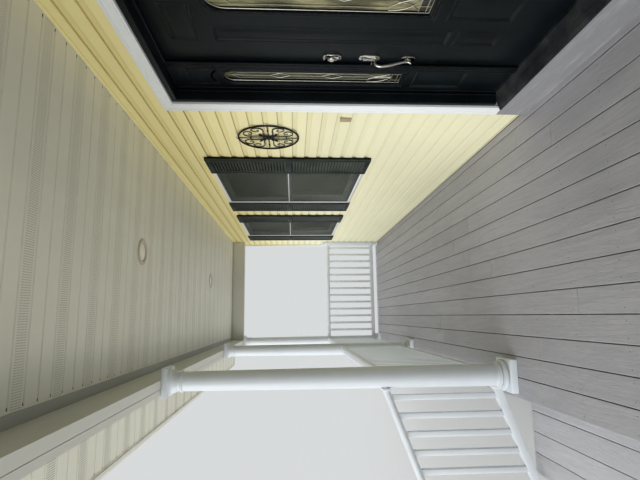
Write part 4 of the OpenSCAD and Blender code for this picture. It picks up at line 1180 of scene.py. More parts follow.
# middle, rise over the leaf's foot, width and height of each panel, for one half of the door
doorPanels = ((0, 0.225, 0.270, 0.335), (0.280, 0.225, 0.130, 0.235), (0.280, 0.490, 0.130, 1.230),
              (0.195, 1.790, 0.300, 0.150))
panelMoulding = [(0.0025, 0.0030), (0.0040, 0.0006), (0.0025, -0.0036), (0.0030, 0.0), (0.0070, -0.0065), (0.0035, 0.0),
                 (0.0150, 0.0050), (0.0030, 0.0008)]
lightMoulding = [(0.0025, 0.0034), (0.0045, 0.0006), (0.0030, -0.0036), (0.0030, 0.0), (0.0050, 0.0030), (0.0020, 0.0),
                 (0.0040, -0.0060), (0.0, -0.0095)]


def archPoints(width, foot, top, steps=20):
    half, turns = width / 2, [pi * i / steps for i in range(steps + 1)]
    return [(-half, foot), (half, foot)] + [(half * cos(a), top - half + half * sin(a)) for a in turns]


def boxPoints(middle, foot, width, height):
    left, right = middle - width / 2, middle + width / 2
    return [(left, foot), (right, foot), (right, foot + height), (left, foot + height)]


def archedFoot(foot, width, height, rise, steps=10):
    # a box whose lower edge is arched between two short flats
    left, right, top = boxPoints(0, foot, width, height)[0], (width / 2, foot), foot + height
    span = width - 2 * 0.022
    arch = [(span * (i / steps - 0.5), foot + rise * sin(pi * i / steps)) for i in range(steps + 1)]
    return [left] + arch + [right, (width / 2, top), (-width / 2, top)]


def moulded(outline, face, way, steps, pierced=False):
    # a panel let into a face that looks to -Y (way 1) or +Y (way -1)
    piece = bar("panel", outline, "y", face + way * doorSizes["sink"], face)
    insets(piece, lambda side: side.normal.y * way < -0.9, steps, pierced)
    if pierced:
        pick(piece, "FACE", lambda side: side.normal.y * way > 0.9 and side.area > 0.02)
        bpy.ops.mesh.delete(type="FACE")
        done()
    return smooth(piece, 24)


def bowed(start, end, bow, steps=8):
    # a gentle arc from one point to another
    across, up = end[0] - start[0], end[1] - start[1]
    swell = lambda t: bow * 4 * t * (1 - t)
    return [(start[0] + across * t - up * swell(t), start[1] + up * t + across * swell(t))
            for t in (i / steps for i in range(steps + 1))]


def came(points, depth, closed):
    # lead strip along a line of (across, up), its round back pressed flat against the glass
    piece = rod("came", [(a, depth, b) for a, b in points], [doorSizes["cameWidth"] / 2] * len(points), closed, True)
    for vertex in piece.data.vertices:
        vertex.co.y = depth + (vertex.co.y - depth) * 0.6
    return piece


def leading(width, foot, top, depth):
    # border, lancet, two diamonds on a centre line, and a fan over a row of small quarries
    s = doorSizes
    edge, fanTop, rowTop = width / 2 - s["border"], foot + s["fan"], foot + s["row"]
    inner, spring, tip = edge - s["lancet"], top - width / 2 - 0.02, top - s["border"]
    loops = [archPoints(width - 0.006, foot + 0.003, top - 0.003)]
    if width > s["twoBorders"]:
        loops.append(archPoints(2 * edge, rowTop, tip))
    lines = [[(-width / 2, z), (width / 2, z)] for z in (rowTop, foot + 0.022)]
    for side in (-1, 1):
        lines += [[(side * inner, fanTop)] + bowed((side * inner, spring), (0, tip - 0.016), side * 0.13),
                  bowed((0, rowTop), (side * edge, fanTop), -side * 0.16),
                  bowed((0, rowTop), (side * inner, fanTop), side * 0.10),
                  bowed((side * edge, rowTop), (side * inner * 0.35, fanTop - 0.035), side * 0.14),
                  [(side * width / 4, foot + 0.003), (side * width / 4, rowTop)]]
    stops, high, wide = [fanTop - 0.055], s["diamondHigh"] / 2, s["diamondWide"] / 2
    for middle in (foot + rise for rise in s["diamondRises"]):
        stops += [middle - high, middle + high]
        loops.append([(0, middle - high), (wide, middle), (0, middle + high), (-wide, middle)])
    stops.append(tip - 0.018)
    lines += [[(0, a), (0, b)] for a, b in zip(stops[::2], stops[1::2])]
    return joined([came(line, depth, line in loops) for line in loops + lines])


def leadedGlass(name, colour, middle, clear, rowTop):
    # hand-rolled glass: slow ripples, seeds and a drifting tint; the border and the foot are clear
    coat = Coat(name, colour, 0.16, Transmission_Weight=0.12, IOR=1.5, Specular_IOR_Level=0.3)
    stria = coat.noise((95.0, 20.0, 7.0), 3.0, 0.6)
    seeds = coat.clouds(0.72, 0.78, 210.0, 1.0)
    coat.ground(coat.clouds(0.35, 0.65, (9.0, 9.0, 4.0)), 0.35, 1.3)
    coat.layer(coat.spread(stria, 0.42, 0.70), (0.030, 0.034, 0.020), 0.8)
    coat.feed(coat.shader["Roughness"], coat.spread(stria, 0.2, 0.8, (0.10, 0.26)))
    hammer = coat.times(coat.cells(130.0)["Distance"], 0.5)
    coat.bump(coat.plus(coat.times(stria, 0.8), hammer, seeds), 0.0012)
    across = coat.maths("ABSOLUTE", coat.minus(coat.maths("ABSOLUTE", coat.axis("X")), middle))
    row = coat.spread(coat.axis("Z"), rowTop + 0.001, rowTop - 0.001)
    # painted shade: the clear border and the foot row are darkened, for the dark inside seen through them
    coat.tint(coat.maths("MAXIMUM", coat.spread(across, clear, clear + 0.002), row), (0.16, 0.17, 0.20))
    return coat


def makeLeaf(names, nodes, low, high, light, panels, s, coats, places, body="porch"):
    # a leaf with sunk panels and an arched light on both faces, its pane, and its lead
    width, foot, top = light
    band, faces = s["band"], ((low.y, 1), (high.y, -1))
    cutters = [bar("cutter", outline, "y", face - way * 0.01, face + way * (doorSizes["sink"] - 0.0002))
               for face, way in faces for outline, _ in panels]
    cutters.append(bar("cutter", archPoints(*light), "y", low.y - 0.01, high.y + 0.01))
    parts = [smooth(cutAway(block("slab", low, high, s["ease"], s["steps"]), cutters), 30)]
    for face, way in faces:
        parts += [moulded(outline, face, way, moulding) for outline, moulding in panels]
        parts.append(moulded(archPoints(width + 2 * band, foot - band, top + band), face, way, lightMoulding, True))
        # the stepped nosing under the light
        for step, (reach, drop) in enumerate(s["nosing"]):
            half, z = width / 2 + band + s["over"] - step * 0.003, foot - band - drop
            nose = block("nosing", (-half, face - way * reach, z - 0.007), (half, face + way * 0.004, z), 0.0015)
            parts.append(smooth(nose, 40))
    seat, (paneLow, paneHigh) = doorSizes["seat"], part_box(nodes[1])
    pane = bar("pane", archPoints(width + 2 * seat, foot - seat, top + seat), "y", paneLow.y, paneHigh.y)
    pane = smooth(eased(pane, 0.0012, 2, 50), 40)
    lead = leading(width, foot, top, low.y + doorSizes["glassSet"])
    for name, model, coat, slotName, replaced in zip(names, (joined(parts), pane, lead), coats, (
            "black_paint", "door_glass", "hardware"), (nodes[:1], nodes[1:], ())):
        dress(name, placed(model, places), coat, slotName, replaced, body=body)


def makeDoor():
    enamel = blackPaint("doorEnamel", (0.0026, 0.0046, 0.0060), 0.34)
    lead = brushedMetal("leadCame", (0.66, 0.65, 0.58), 0.34, (60.0, 60.0, 60.0))
    s = doorSizes
    low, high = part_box("door_glass")
    foot, top, width = low.z + s["seat"], high.z - s["seat"], high.x - low.x - 2 * s["seat"]
    glass = leadedGlass("leadedGlass", (0.34, 0.315, 0.165), 0.0, width / 2 - s["border"], foot + s["row"])
    panels = [(boxPoints(side * middle, doorLow.z + rise, *size), panelMoulding)
              for side in (-1, 1) for middle, rise, *size in doorPanels if middle or side > 0]
    makeLeaf(("frontDoor", "doorPane", "doorLeading"), ["front_door", "door_glass"], doorLow, doorHigh,
             (width, foot, top), panels, doorLeaf, (enamel, glass, lead), [(0, 0, 0)], "door")
    # one sidelight, made on the axis and set on both sides
    low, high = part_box("sidelight_glass")
    leafLow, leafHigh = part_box("sidelights")
    foot, top, width = low.z + s["seat"], high.z - s["seat"], sideLeaf["light"]
    middle = high.x - width / 2 - s["seat"]
    half = leafHigh.x - middle
    olive = leadedGlass("sidelightGlass", (0.135, 0.128, 0.068), middle, sideLeaf["clear"], foot + s["row"])
    panels = [(boxPoints(0, foot - 0.077 - 0.318, 0.190, 0.318), panelMoulding),
              (archedFoot(top + 0.030, 0.178, 0.178, 0.030), [(a * 0.42, b * 0.9) for a, b in panelMoulding])]
    makeLeaf(("sidelightPanels", "sidelightPanes", "sidelightLeading"), ["sidelights", "sidelight_glass"],
             Vector((-half, leafLow.y, leafLow.z)), Vector((half, leafHigh.y, leafHigh.z)), (width, foot, top), panels,
             sideLeaf, (enamel, olive, lead), [(-middle, 0, 0), (middle, 0, 0)])
    makeDoorFrame(enamel, leafHigh.x + 0.0003)
    makeCasing()
    makeSill()
    makeHandleset()
    print("Door hung")


frameSizes = {"gap": 0.005, "stop": 0.012, "mullion": 0.045, "proud": 0.020, "bead": 0.008, "sideBead": 0.010}


def makeDoorFrame(coat, jamb):
    s, (low, high) = frameSizes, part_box("door_frame")
    leaf, gap, bead = doorLow.y, s["gap"], s["bead"]
    post, head, front = doorHigh.x + gap, doorHigh.z + gap, doorLow.y - s["proud"]
    side, back, parts = post + s["mullion"], high.y, []
    # name, sides, depths, top, ease: the jamb and the post, the stop, two beads down the post and one on the jamb
    uprights = [("jamb", jamb, high.x, low.y, back, head + 0.004, 0.002, 2),
                ("post", post, side, front, back, head + 0.004, 0.002, 2),
                ("stop", post - s["stop"], post + 0.001, front + 0.002, leaf - gap, head, 0.0025, 3),
                ("bead", jamb - 0.006, jamb - 0.006 + bead, leaf - 0.030, leaf - 0.022, head, 0.002, 3)]
    for middle in ((post + side) / 2 - 0.012, (post + side) / 2 + 0.012):
        uprights.append(("bead", middle - bead / 2, middle + bead / 2, front - 0.0025, front + 0.004, head, 0.002, 3))
    for sign in (-1, 1):
        parts += [block(name, (sign * x0, y0, low.z), (sign * x1, y1, z1), ease, steps)
                  for name, x0, x1, y0, y1, z1, ease, steps in uprights]
        parts.append(hollow("sideBead", (sign * side, leaf - 0.009, low.z), (sign * jamb, leaf + 0.002, head),
                            s["sideBead"], 0.003, 3))
    parts += [block("head", (low.x, low.y, head), high, 0.002),
              block("headStop", (-post, front + 0.002, head - s["stop"]), (post, leaf - gap, head + 0.001), 0.0025, 3)]
    dress("doorFrame", parts, coat, "black_paint", ["door_frame"], 40)


sillSizes = {"fall": 0.032, "saddle": 0.012, "edge": 0.002, "grooves": (0.018, 0.030, 0.042), "grooveWide": 0.006,
             "grooveDeep": 0.0016, "sealIn": 0.004, "sealFront": 0.006, "sealBack": 0.034, "sealHigh": 0.0042}


def makeSill():
    s, (low, high) = sillSizes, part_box("door_sill")
    top, front, step, edge = high.z, low.y, doorLow.y - s["saddle"], s["edge"]
    foot, slope, wide = top - s["fall"], s["fall"] / (step - front), s["grooveWide"]
    outline = [(front + edge, low.z), (front, low.z + edge), (front, foot - edge), (front + 0.003, foot)]
    # three grip grooves near the nosing, then the saddle and the sealing strip under the leaf
    for a in (front + groove for groove in s["grooves"]):
        z = foot + slope * (a - front)
        outline += [(a, z), (a + 0.0015, z - s["grooveDeep"]), (a + 0.0045, z - 0.0012), (a + wide, z + slope * wide)]
    outline += [(step - 0.001, top - 0.001), (step, top), (high.y, top), (high.y, low.z)]
    sweep = block("sweep", (doorLow.x + s["sealIn"], doorLow.y + s["sealFront"], top - 0.001),
                  (doorHigh.x - s["sealIn"], doorLow.y + s["sealBack"], top + s["sealHigh"]), 0.0012)
    parts = [smooth(bar("sillBoard", outline, "x", low.x, high.x), 30), smooth(sweep)]
    dress("doorSill", parts, blackPaint("sillEnamel", (0.009, 0.011, 0.014), 0.34), "black_paint", ["door_sill"])


# (distance from the opening, distance from the wall), the band's from the casing's front
casingSizes = {"face": ((0.0, 0.0), (0.0, 0.013), (0.002, 0.0155), (0.009, 0.0155), (0.011, 0.013), (0.014, 0.0125),
                        (0.016, 0.0170), (0.058, 0.0185), (0.060, 0.0160), (0.064, 0.0160), (0.066, 0.0205)),
               "band": ((0.068, 0.0), (0.082, 0.0), (0.084, -0.002)), "width": 0.084}


def makeCasing():
    # flat casings with a backband and an inner bead, mitred at the head
    coat = vinyl("casingPaint", (0.84, 0.86, 0.88), 0.40, fine=0.5, waves=0.1, upright=True, dirt=0.14)
    s, (low, high), inside = casingSizes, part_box("door_casing"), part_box("door_frame")[1]
    width, reach, head = high.x - inside.x, high.y - low.y, high.z - inside.z
    profile = [*s["face"], *((a, reach + b) for a, b in s["band"]), (s["width"], 0.0)]
    shares = [(a / s["width"], b) for a, b in profile]
    cap = bar("casingHead", [(wallFace - b, inside.z + a * head) for a, b in shares], "x", low.x, high.x)
    parts = [cap]
    for sign in (-1, 1):
        mitre, normal = (sign * inside.x, 0, inside.z), Vector((sign * head, 0, -width)).normalized()
        leg = bar("casingLeg", [(sign * (inside.x + a * width), wallFace - b) for a, b in shares], "z", low.z, high.z)
        parts.append(sliced(leg, mitre, -normal))
        sliced(cap, mitre, normal)
    dress("doorCasing", [edited(part, faceOut) for part in parts], coat, "white_trim", ["door_casing"], 25)


# how far over the door's foot each part sits, and each plate's width, height and depth
handleSizes = {"bolt": 1.092, "thumb": 0.883, "grip": 0.663, "boltPlate": (0.060, 0.104, 0.007),
               "thumbPlate": (0.054, 0.118, 0.006), "gripPlate": (0.046, 0.074, 0.006), "underThumb": 0.036,
               "tongueReach": 0.034, "tongueHalf": 0.0095, "tongueRise": 0.004, "tongueDish": 0.003}
plateSteps = [(0.0035, 0.0018), (0.0030, 0.0), (0.0020, 0.0016), (0.0015, 0.0006)]
plateShape = ((0.50, 0.0), (0.50, 0.30), (0.47, 0.335), (0.40, 0.345), (0.365, 0.38), (0.37, 0.42), (0.33, 0.455),
              (0.22, 0.48), (0.12, 0.495))


def ornatePlate(x, z, width, height, back, front):
    # shouldered outline of an escutcheon, one quarter given and then reflected
    upper = [*plateShape, *((-a, b) for a, b in reversed(plateShape))]
    lower = [(a, -b) for a, b in reversed(upper)][1:-1]
    plate = bar("plate", [(x + a * width, z + b * height) for a, b in upper + lower], "y", back, front)
    insets(plate, lambda face: face.normal.y < -0.9, plateSteps)
    return smooth(eased(plate, 0.0006, 2, 50), 40)


# (distance from the door, height over or under the thumb plate's pivot, radius); the last three sit by the lower plate
gripLine = ((0.006, 0, 0.0095), (0.022, 0.004, 0.0080), (0.040, 0.002, 0.0072), (0.0505, -0.016, 0.0078),
            (0.0495, -0.045, 0.0086), (0.042, -0.085, 0.0090), (0.031, -0.125, 0.0084))
gripEnd = ((0.0225, 0.022, 0.0072), (0.0215, 0.002, 0.0066), (0.026, -0.009, 0.0056))


def makeHandleset():
    nickel = brushedMetal("satinNickel", (0.74, 0.71, 0.65), 0.26, (40.0, 40.0, 700.0))
    s, (low, high), face = handleSizes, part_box("handleset"), doorLow.y
    x, (boltZ, thumbZ, gripZ) = (low.x + high.x) / 2, (doorLow.z + s[key] for key in ("bolt", "thumb", "grip"))
    parts = [ornatePlate(x, z, wide, tall, face + 0.001, face - thick) for z, (wide, tall, thick) in (
        (boltZ, s["boltPlate"]), (thumbZ, s["thumbPlate"]), (gripZ, s["gripPlate"]))]
    cylinder = turned("cylinder", [(0.0, 0.0), (0.0195, 0.0), (0.0195, 0.006), (0.0180, 0.0085), (0.0172, 0.0125),
                                   (0.0145, 0.0145), (0.0138, 0.0128), (0.0, 0.0128)], 40)
    parts.append(smooth(facing(cylinder, (x, face - 0.008, boltZ + 0.004)), 40))
    # the keyway, and the rib across the plate under the bolt
    parts.append(block("keyway", (x - 0.0011, face - 0.0215, boltZ - 0.003), (x + 0.0011, face - 0.019, boltZ + 0.011),
                       0.0004, 1))
    parts += small("rib", (x,), 0.019, face - 0.0125, boltZ - 0.026, face - 0.009, boltZ - 0.022, 0.0012, 2)
    # grip: out from under the thumb plate, round its crook, down in an S and on to the lower plate
    top = thumbZ - s["underThumb"]
    path = [(a, top + b, r) for a, b, r in gripLine] + [(a, gripZ + b, r) for a, b, r in gripEnd]
    root = [(0.004, gripZ, 0.0125), (0.014, gripZ + 0.001, 0.0085), (0.0225, gripZ + 0.004, 0.0065)]
    for line in (path, root):
        parts.append(rod("grip", [(x, face - a, z) for a, z, _ in line], [radius for _, _, radius in line]))
    for reach, z, radius in ((0.029, gripZ - 0.013, 0.0068), (0.0505, top - 0.015, 0.0080)):
        alone()
        bpy.ops.mesh.primitive_uv_sphere_add(segments=20, ring_count=12, radius=radius, location=(x, face - reach, z))
        parts.append(smooth(settle(bpy.context.object), 60))
    collar = turned("collar", [(0.0, 0.0), (0.0135, 0.0), (0.0140, 0.0015), (0.0125, 0.0035), (0.0108, 0.0050),
                               (0.0, 0.0050)], 32)
    parts.append(smooth(facing(collar, (x, face - 0.0055, top)), 40))
    # thumb press: a dished tongue that comes out above the grip
    root, reach, half = face - 0.006, s["tongueReach"], s["tongueHalf"]
    tongue = block("tongue", (x - half, root - reach, top + 0.021), (x + half, root, top + 0.0245), 0.0010)
    edited(tongue, lambda: bpy.ops.mesh.subdivide(number_cuts=3))
    for vertex in tongue.data.vertices:
        out, side = (root - vertex.co.y) / reach, vertex.co.x - x
        vertex.co.z += s["tongueRise"] * out * out - s["tongueDish"] * (1 - abs(side) / half) * out
        vertex.co.x = x + side * (0.62 + 0.38 * out)
    dress("gripHandleset", parts + [smooth(tongue, 40)], nickel, "hardware", ["handleset"], body="door")
    for node in ("door_hinges", "jamb_hinges"):
        paint(node, nickel)


# Windows and shutters

windowSizes = {"centres": (-5.154, -2.860, 2.860, 5.154), "face": 0.027, "frame": 0.045, "stile": 0.038, "sash": 0.030,
               "screenFrame": 0.015, "screenBack": 0.005, "bead": 0.006, "tabIn": 0.2}


def screenMesh():
    # woven insect screen: too fine to see strand by strand, it darkens what lies behind and sags a little
    coat = Coat("insectScreen", (0.064, 0.072, 0.056), 0.75, Specular_IOR_Level=0.12)
    slack = coat.noise((1.1, 1.0, 1.6), 2.0)
    coat.ground(coat.spread(slack, 0.3, 0.7), 0.8, 1.5)
    coat.streaked((0.075, 0.078, 0.062), 0.22)
    coat.feed(coat.shader["Alpha"], coat.spread(slack, 0.3, 0.7, (0.60, 0.52)))
    coat.bump(slack, 0.004)
    return coat


def windowGlass():
    # a dark room behind the pane, with the faint waviness of drawn glass
    coat = Coat("windowGlass", (0.010, 0.013, 0.010), 0.03, IOR=1.5, Specular_IOR_Level=0.3)
    coat.ground(coat.clouds(0.42, 0.68, (7.0, 1.0, 0.5), 4.0), 0.7, 3.2)
    coat.rough(coat.streaked((0.09, 0.09, 0.08), 0.25), 0.5, 0.03)
    coat.bump(coat.noise((1.3, 1.0, 0.8), 2.0), 0.004)
    return coat


def makeWindows():
    s = windowSizes
    white = vinyl("windowVinyl", (0.84, 0.86, 0.87), 0.34, fine=0.1, waves=0.1, upright=True, dirt=0.18)
    half, face, frame, stile, sash = windowHigh.x - s["centres"][-1], s["face"], s["frame"], s["stile"], s["sash"]
    y0, y1, z0, z1 = windowLow.y, windowHigh.y, windowLow.z, windowHigh.z
    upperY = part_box("window_sashes")[0].y
    lowerY, tall = upperY + sash + 0.001, (z1 - z0 - 2 * frame + stile) / 2
    wide, meeting, lap = half - frame, z0 + frame + tall, face - 0.001
    frames = [hoop("outer", half, y0, z0, y1, z1, face, 0.0025, 3),
              hoop("inner", half - lap, y0 + 0.012, z0 + lap, y1, z1 - lap, frame - lap, 0.0015),
              smooth(centred("sillNose", half, y0, z0, y0 + 0.02, z0 + 0.012, 0.003))]
    frames += small("weepCover", (-half / 2, half / 2), 0.016, y0 - 0.0008, z0 + 0.009, y0 + 0.002, z0 + 0.017, 0.0008)
    bead, c, sashes, panes = s["bead"], stile - 0.004, [], []
    b = stile - bead
    for y, z in ((upperY, z1 - frame - tall), (lowerY, z0 + frame)):
        sashes += [hoop("sash", wide, y, z, y + sash, z + tall, stile, 0.0025, 3),
                   hoop("glazingBead", wide - b, y + bead, z + b, y + sash - bead, z + tall - b, bead * 2, 0.002, 1)]
        panes.append(centred("pane", wide - c, y + 0.011, z + c, y + 0.019, z + tall - c, 0.0005, 1))
    # the lock's base and its cam where the sashes meet
    sashes += small("base", (0,), 0.026, lowerY + 0.004, meeting - 0.001, lowerY + 0.026, meeting + 0.004, 0.001, 2)
    sashes += small("cam", (0.004,), 0.016, lowerY - 0.004, meeting + 0.004, lowerY + 0.018, meeting + 0.010, 0.003, 2)
    # the screen in its rim, with two pull tabs and a slim white spreader across it
    f = face + 0.0015
    reach, screenY, g = half - f, y0 + s["screenBack"], f + 0.010
    rim = [hoop("screenRim", reach, screenY, z0 + f, screenY + 0.008, z1 - f, s["screenFrame"], 0.0015)]
    tab, foot = reach - s["tabIn"], z0 + f
    rim += small("pullTab", (-tab, tab), 0.010, screenY - 0.002, foot + 0.004, screenY + 0.002, foot + 0.011)
    frames += small("spreader", (0,), reach, screenY + 0.0005, meeting - 0.017, screenY + 0.0075, meeting - 0.010,
                    0.002, 2)
    mesh = [centred("mesh", half - g, screenY + 0.0035, z0 + g, screenY + 0.0040, z1 - g)]
    dark = blackPaint("screenFrameMetal", (0.030, 0.032, 0.031), 0.40)
    for name, parts, coat, slotName, nodes in (
            ("windowFrames", frames, white, "white_trim", ["window_frames"]),
            ("windowSashes", sashes, white, "white_trim", ["window_sashes"]),
            ("windowPanes", panes, windowGlass(), "window_glass", ["window_glass"]),
            ("screenFrames", rim, dark, "screen", ["window_screens"]),
            ("screens", mesh, screenMesh(), "screen", ())):
        dress(name, placed(joined(parts), [(x, 0, 0) for x in s["centres"]]), coat, slotName, nodes)
    print("Windows set")


shutterSizes = {"width": 0.375, "frame": 0.046, "mid": 0.052, "depth": 0.030, "pitch": 0.0270, "slat": 0.0050}


def shutterVinyl():
    coat = Coat("shutterVinyl", (0.0095, 0.0120, 0.0115), 0.46, Specular_IOR_Level=0.12)
    chalk, depth = coat.noise(5.0, 5.0, 0.65), coat.axis("Y")
    coat.ground(coat.spread(chalk, 0.35, 0.7), 0.8, 1.7)
    coat.worn((0.07, 0.075, 0.07), 0.003, 22.0, 0.25)
    coat.dusty((0.10, 0.10, 0.09), 0.14, 9.0)
    coat.rough(chalk, 0.2, 0.42)
    coat.bump(coat.group(mouldedVinyl, Vector=coat.upright(), Fine=1.6, Waves=0.2)["Height"], 1.0, 0.8)
    # painted light: the slats are made far paler than the frame, as if lit, and painted shade makes the depth between
    # them near black
    coat.tint(coat.spread(depth, wallFace - 0.0292, wallFace - 0.0280), (4.2, 4.2, 3.6))
    coat.tint(coat.spread(depth, wallFace - 0.0185, wallFace - 0.0150), (0.04, 0.04, 0.04))
    return coat


def makeShutters():
    s, coat = shutterSizes, shutterVinyl()
    low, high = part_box("shutters_right")
    height, half, frame, depth = high.z - low.z, s["width"] / 2, s["frame"], s["depth"]
    inner, field = half - frame, (height - 2 * frame - s["mid"]) / 2
    fields = (frame, frame + field + s["mid"])
    parts = [block("stile", (sign * inner, -depth, 0), (sign * half, 0, height), 0.0028, 3) for sign in (-1, 1)]
    for z, tall in ((0, frame), (frame + field, s["mid"]), (height - frame, frame)):
        parts.append(centred("rail", inner + 0.001, 0.001 - depth, z, 0, z + tall, 0.0022))
    count = round(field / s["pitch"])
    pitch, front, back = field / count, 0.0035 - depth, -0.007
    blade = [(front + 0.001, 0.000), (front, 0.002), (front + 0.0012, 0.0052), (back, pitch + 0.004),
             (back, pitch + 0.004 - s["slat"]), (front + 0.004, 0.0005)]
    for z in fields:
        slat = bar("slat", [(a, z + b) for a, b in blade], "x", -inner, inner)
        parts += [repeated(slat, count, (0, 0, pitch)), centred("backing", inner, -0.006, z, -0.001, z + field)]
        # the quadrant beads that the louvre field sits in
        parts += [block("bead", (sign * inner, 0.003 - depth, z), (sign * (inner - 0.004), -0.004, z + field), 0.0015)
                  for sign in (-1, 1)]
    head = [(0.0, 0.0), (0.0052, 0.0), (0.0050, 0.0014), (0.0036, 0.0026), (0.0, 0.0030)]
    parts += [facing(turned("screw", head, 14), (sign * (half - frame / 2), 0.0002 - depth, height * share))
              for sign in (-1, 1) for share in (0.06, 0.5, 0.94)]
    model = joined(parts, 40)
    offset = windowSizes["centres"][-1] - (high.x - half)
    middles = [x + side * offset for x in windowSizes["centres"][2:] for side in (-1, 1)]
    for side, sign in (("left", -1), ("right", 1)):
        row = [copied(model, (sign * x, wallFace, low.z)) for x in middles]
        dress("shutters" + side.title(), row, coat, "shutters", ["shutters_" + side])
    bpy.data.objects.remove(model)
    print("Shutters fixed")


# Ceiling lights, wall ornament and doorbell

lightSizes = {"trim": 0.098, "well": 0.068, "lens": 0.058, "proud": 0.009}


def frostedLens():
    coat = Coat("frostedLens", (0.88, 0.84, 0.76), 0.35, Coat_Weight=0.3, Coat_Roughness=0.2)
    coat.ground(coat.clouds(0.3, 0.7, 14.0), 0.9, 1.05)
    coat.bump(coat.cells(240.0)["Distance"], 0.0008)
    return coat


def makeLights():
    trim, well, lens, proud = (lightSizes[key] for key in ("trim", "well", "lens", "proud"))
    low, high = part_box("ceiling_lights")
    coat = vinyl("lightTrim", (0.50, 0.45, 0.35), 0.38, fine=0.1, waves=0.0, dirt=0.10)
    # trim ring with a rolled rim and a stepped baffle, opening downwards
    rim = [(trim, 0.001), (trim, -0.003), (trim - 0.002, -0.0065), (trim - 0.006, -0.0088), (trim - 0.012, -proud),
           (well + 0.006, -proud + 0.0004), (well + 0.002, -proud + 0.0015), (well, -0.0050), (well - 0.002, -0.0042),
           (well - 0.0025, -0.0020), (lens + 0.003, -0.0014), (lens + 0.002, 0.001)]
    cap = [(0.0, -0.0048), (lens * 0.5, -0.0044), (lens * 0.85, -0.0030), (lens + 0.003, -0.0004),
           (lens + 0.003, 0.0008), (0.0, 0.0008)]
    columns = [columnAxis(side, place) for side in ("left", "right") for place in ("inner", "middle")]
    aside = high.x - trim - columns[-1]
    places = [(x + copysign(aside, x), (low.y + high.y) / 2, ceilingLow.z) for x in columns]
    dress("lightTrims", placed(smooth(turned("trim", rim, 64, True), 30), places), coat, "light", ["ceiling_lights"])
    dress("lightLenses", placed(smooth(turned("lens", cap, 48), 50), places), frostedLens(), "light")


ornamentSizes = {"ring": 0.2325, "bar": 0.0068, "scroll": 0.0050, "centre": 0.024, "taper": 0.0022}
# (reach, turn from the axis) along one C scroll, from the hub out near the ring and back into its eye
scrollShape = ((0.030, 0.10), (0.075, 0.30), (0.125, 0.52), (0.170, 0.52), (0.196, 0.34), (0.190, 0.13), (0.160, 0.09),
               (0.138, 0.20), (0.146, 0.33), (0.162, 0.29))


def makeOrnament():
    s = ornamentSizes
    low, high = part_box("wall_ornament")
    centre, depth = (low + high) / 2, high.y - 0.0075
    ring, hub, inner, parts = s["ring"], s["centre"], s["ring"] - 2 * s["bar"], []

    def ray(reach, angle):
        return Vector((centre.x + reach * cos(angle), depth, centre.z + reach * sin(angle)))

    for radius, thick in ((ring - s["bar"] - 0.0005, s["bar"]), (hub + 0.006, 0.0040)):
        alone()
        bpy.ops.mesh.primitive_torus_add(major_radius=radius, minor_radius=thick, major_segments=72, minor_segments=12,
                                         rotation=(pi / 2, 0, 0), location=ray(0, 0))
        parts.append(smooth(settle(bpy.context.object), 60))
    # four pairs of C scrolls with a bud between each pair, and a spoke with its collar on each axis
    scale, last = (inner - 0.014) / 0.200, len(scrollShape) - 1
    for turn in (i * pi / 2 for i in range(4)):
        slant = pi / 4 + turn
        for side in (-1, 1):
            points = [ray(reach * scale, slant + side * bend) for reach, bend in scrollShape]
            parts.append(rod("scroll", points, [s["scroll"] - s["taper"] * k / last for k in range(last + 1)]))
        for name, angle, reaches, radii in (
                ("bud", slant, (0.028, 0.060, 0.084, 0.104), (0.0030, 0.0042, 0.0074, 0.0014)),
                ("spoke", turn, (0.028, 0.110, inner + 0.002), (0.0042, 0.0034, 0.0042)),
                ("collar", turn, (0.128, 0.134, 0.140), (0.0062, 0.0074, 0.0062))):
            parts.append(rod(name, [ray(reach, angle) for reach in reaches], radii))
    rosette = [(0.0, 0.0), (hub, 0.0), (hub - 0.002, 0.003), (hub * 0.7, 0.004), (hub * 0.6, 0.0065),
               (hub * 0.3, 0.0085), (0.0, 0.009)]
    parts.append(smooth(facing(turned("rosette", rosette, 32), (centre.x, depth + 0.002, centre.z)), 50))
    # the hook that it hangs from
    hook = ((high.y - 0.001, 0.010), (depth - 0.002, 0.006), (depth - 0.006, -0.010), (depth - 0.002, -0.018))
    parts.append(rod("hook", [(centre.x, y, centre.z + ring + rise) for y, rise in hook], [0.0022] * 4))
    iron = blackPaint("wroughtIron", (0.010, 0.010, 0.010), 0.42)
    dress("wallOrnament", parts, iron, "black_paint", ["wall_ornament"])


# (radius, height) of the button and of the bezel round it
bellSizes = {"edge": 0.004, "buttonProud": 0.0040, "bezelProud": 0.0030,
             "button": [(0.0, 0.0), (0.0105, 0.0), (0.0105, 0.0022), (0.0092, 0.0036), (0.0060, 0.0042), (0.0, 0.0044)],
             "bezel": [(0.0108, 0.0), (0.0140, 0.0), (0.0138, 0.0016), (0.0125, 0.0022), (0.0108, 0.0018)]}


def makeDoorbell():
    s, (low, high) = bellSizes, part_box("doorbell")
    middle, edge = (low + high) / 2, s["edge"]
    coat = vinyl("bellHousing", (0.40, 0.33, 0.20), 0.45, fine=0.2, waves=0.0, dirt=0.1)
    plate = block("plate", (low.x, low.y + 0.006, low.z), high, edge, 3)
    face = block("face", (low.x + edge, low.y + 0.002, low.z + edge), (high.x - edge, low.y + 0.010, high.z - edge),
                 edge, 3)
    insets(face, lambda side: side.normal.y < -0.95 and side.area > 0.0005, [(0.003, 0.0), (0.001, -0.0008)])
    rounds = [smooth(facing(turned(name, s[name], 32, closed), (middle.x, low.y + s[name + "Proud"], middle.z)), 40)
              for name, closed in (("bezel", True), ("button", False))]
    dress("doorbellUnit", [smooth(plate), smooth(face), *rounds], coat, "bell", ["doorbell"])
    print("Fittings placed")


# Roof, gutter, beam and the rest

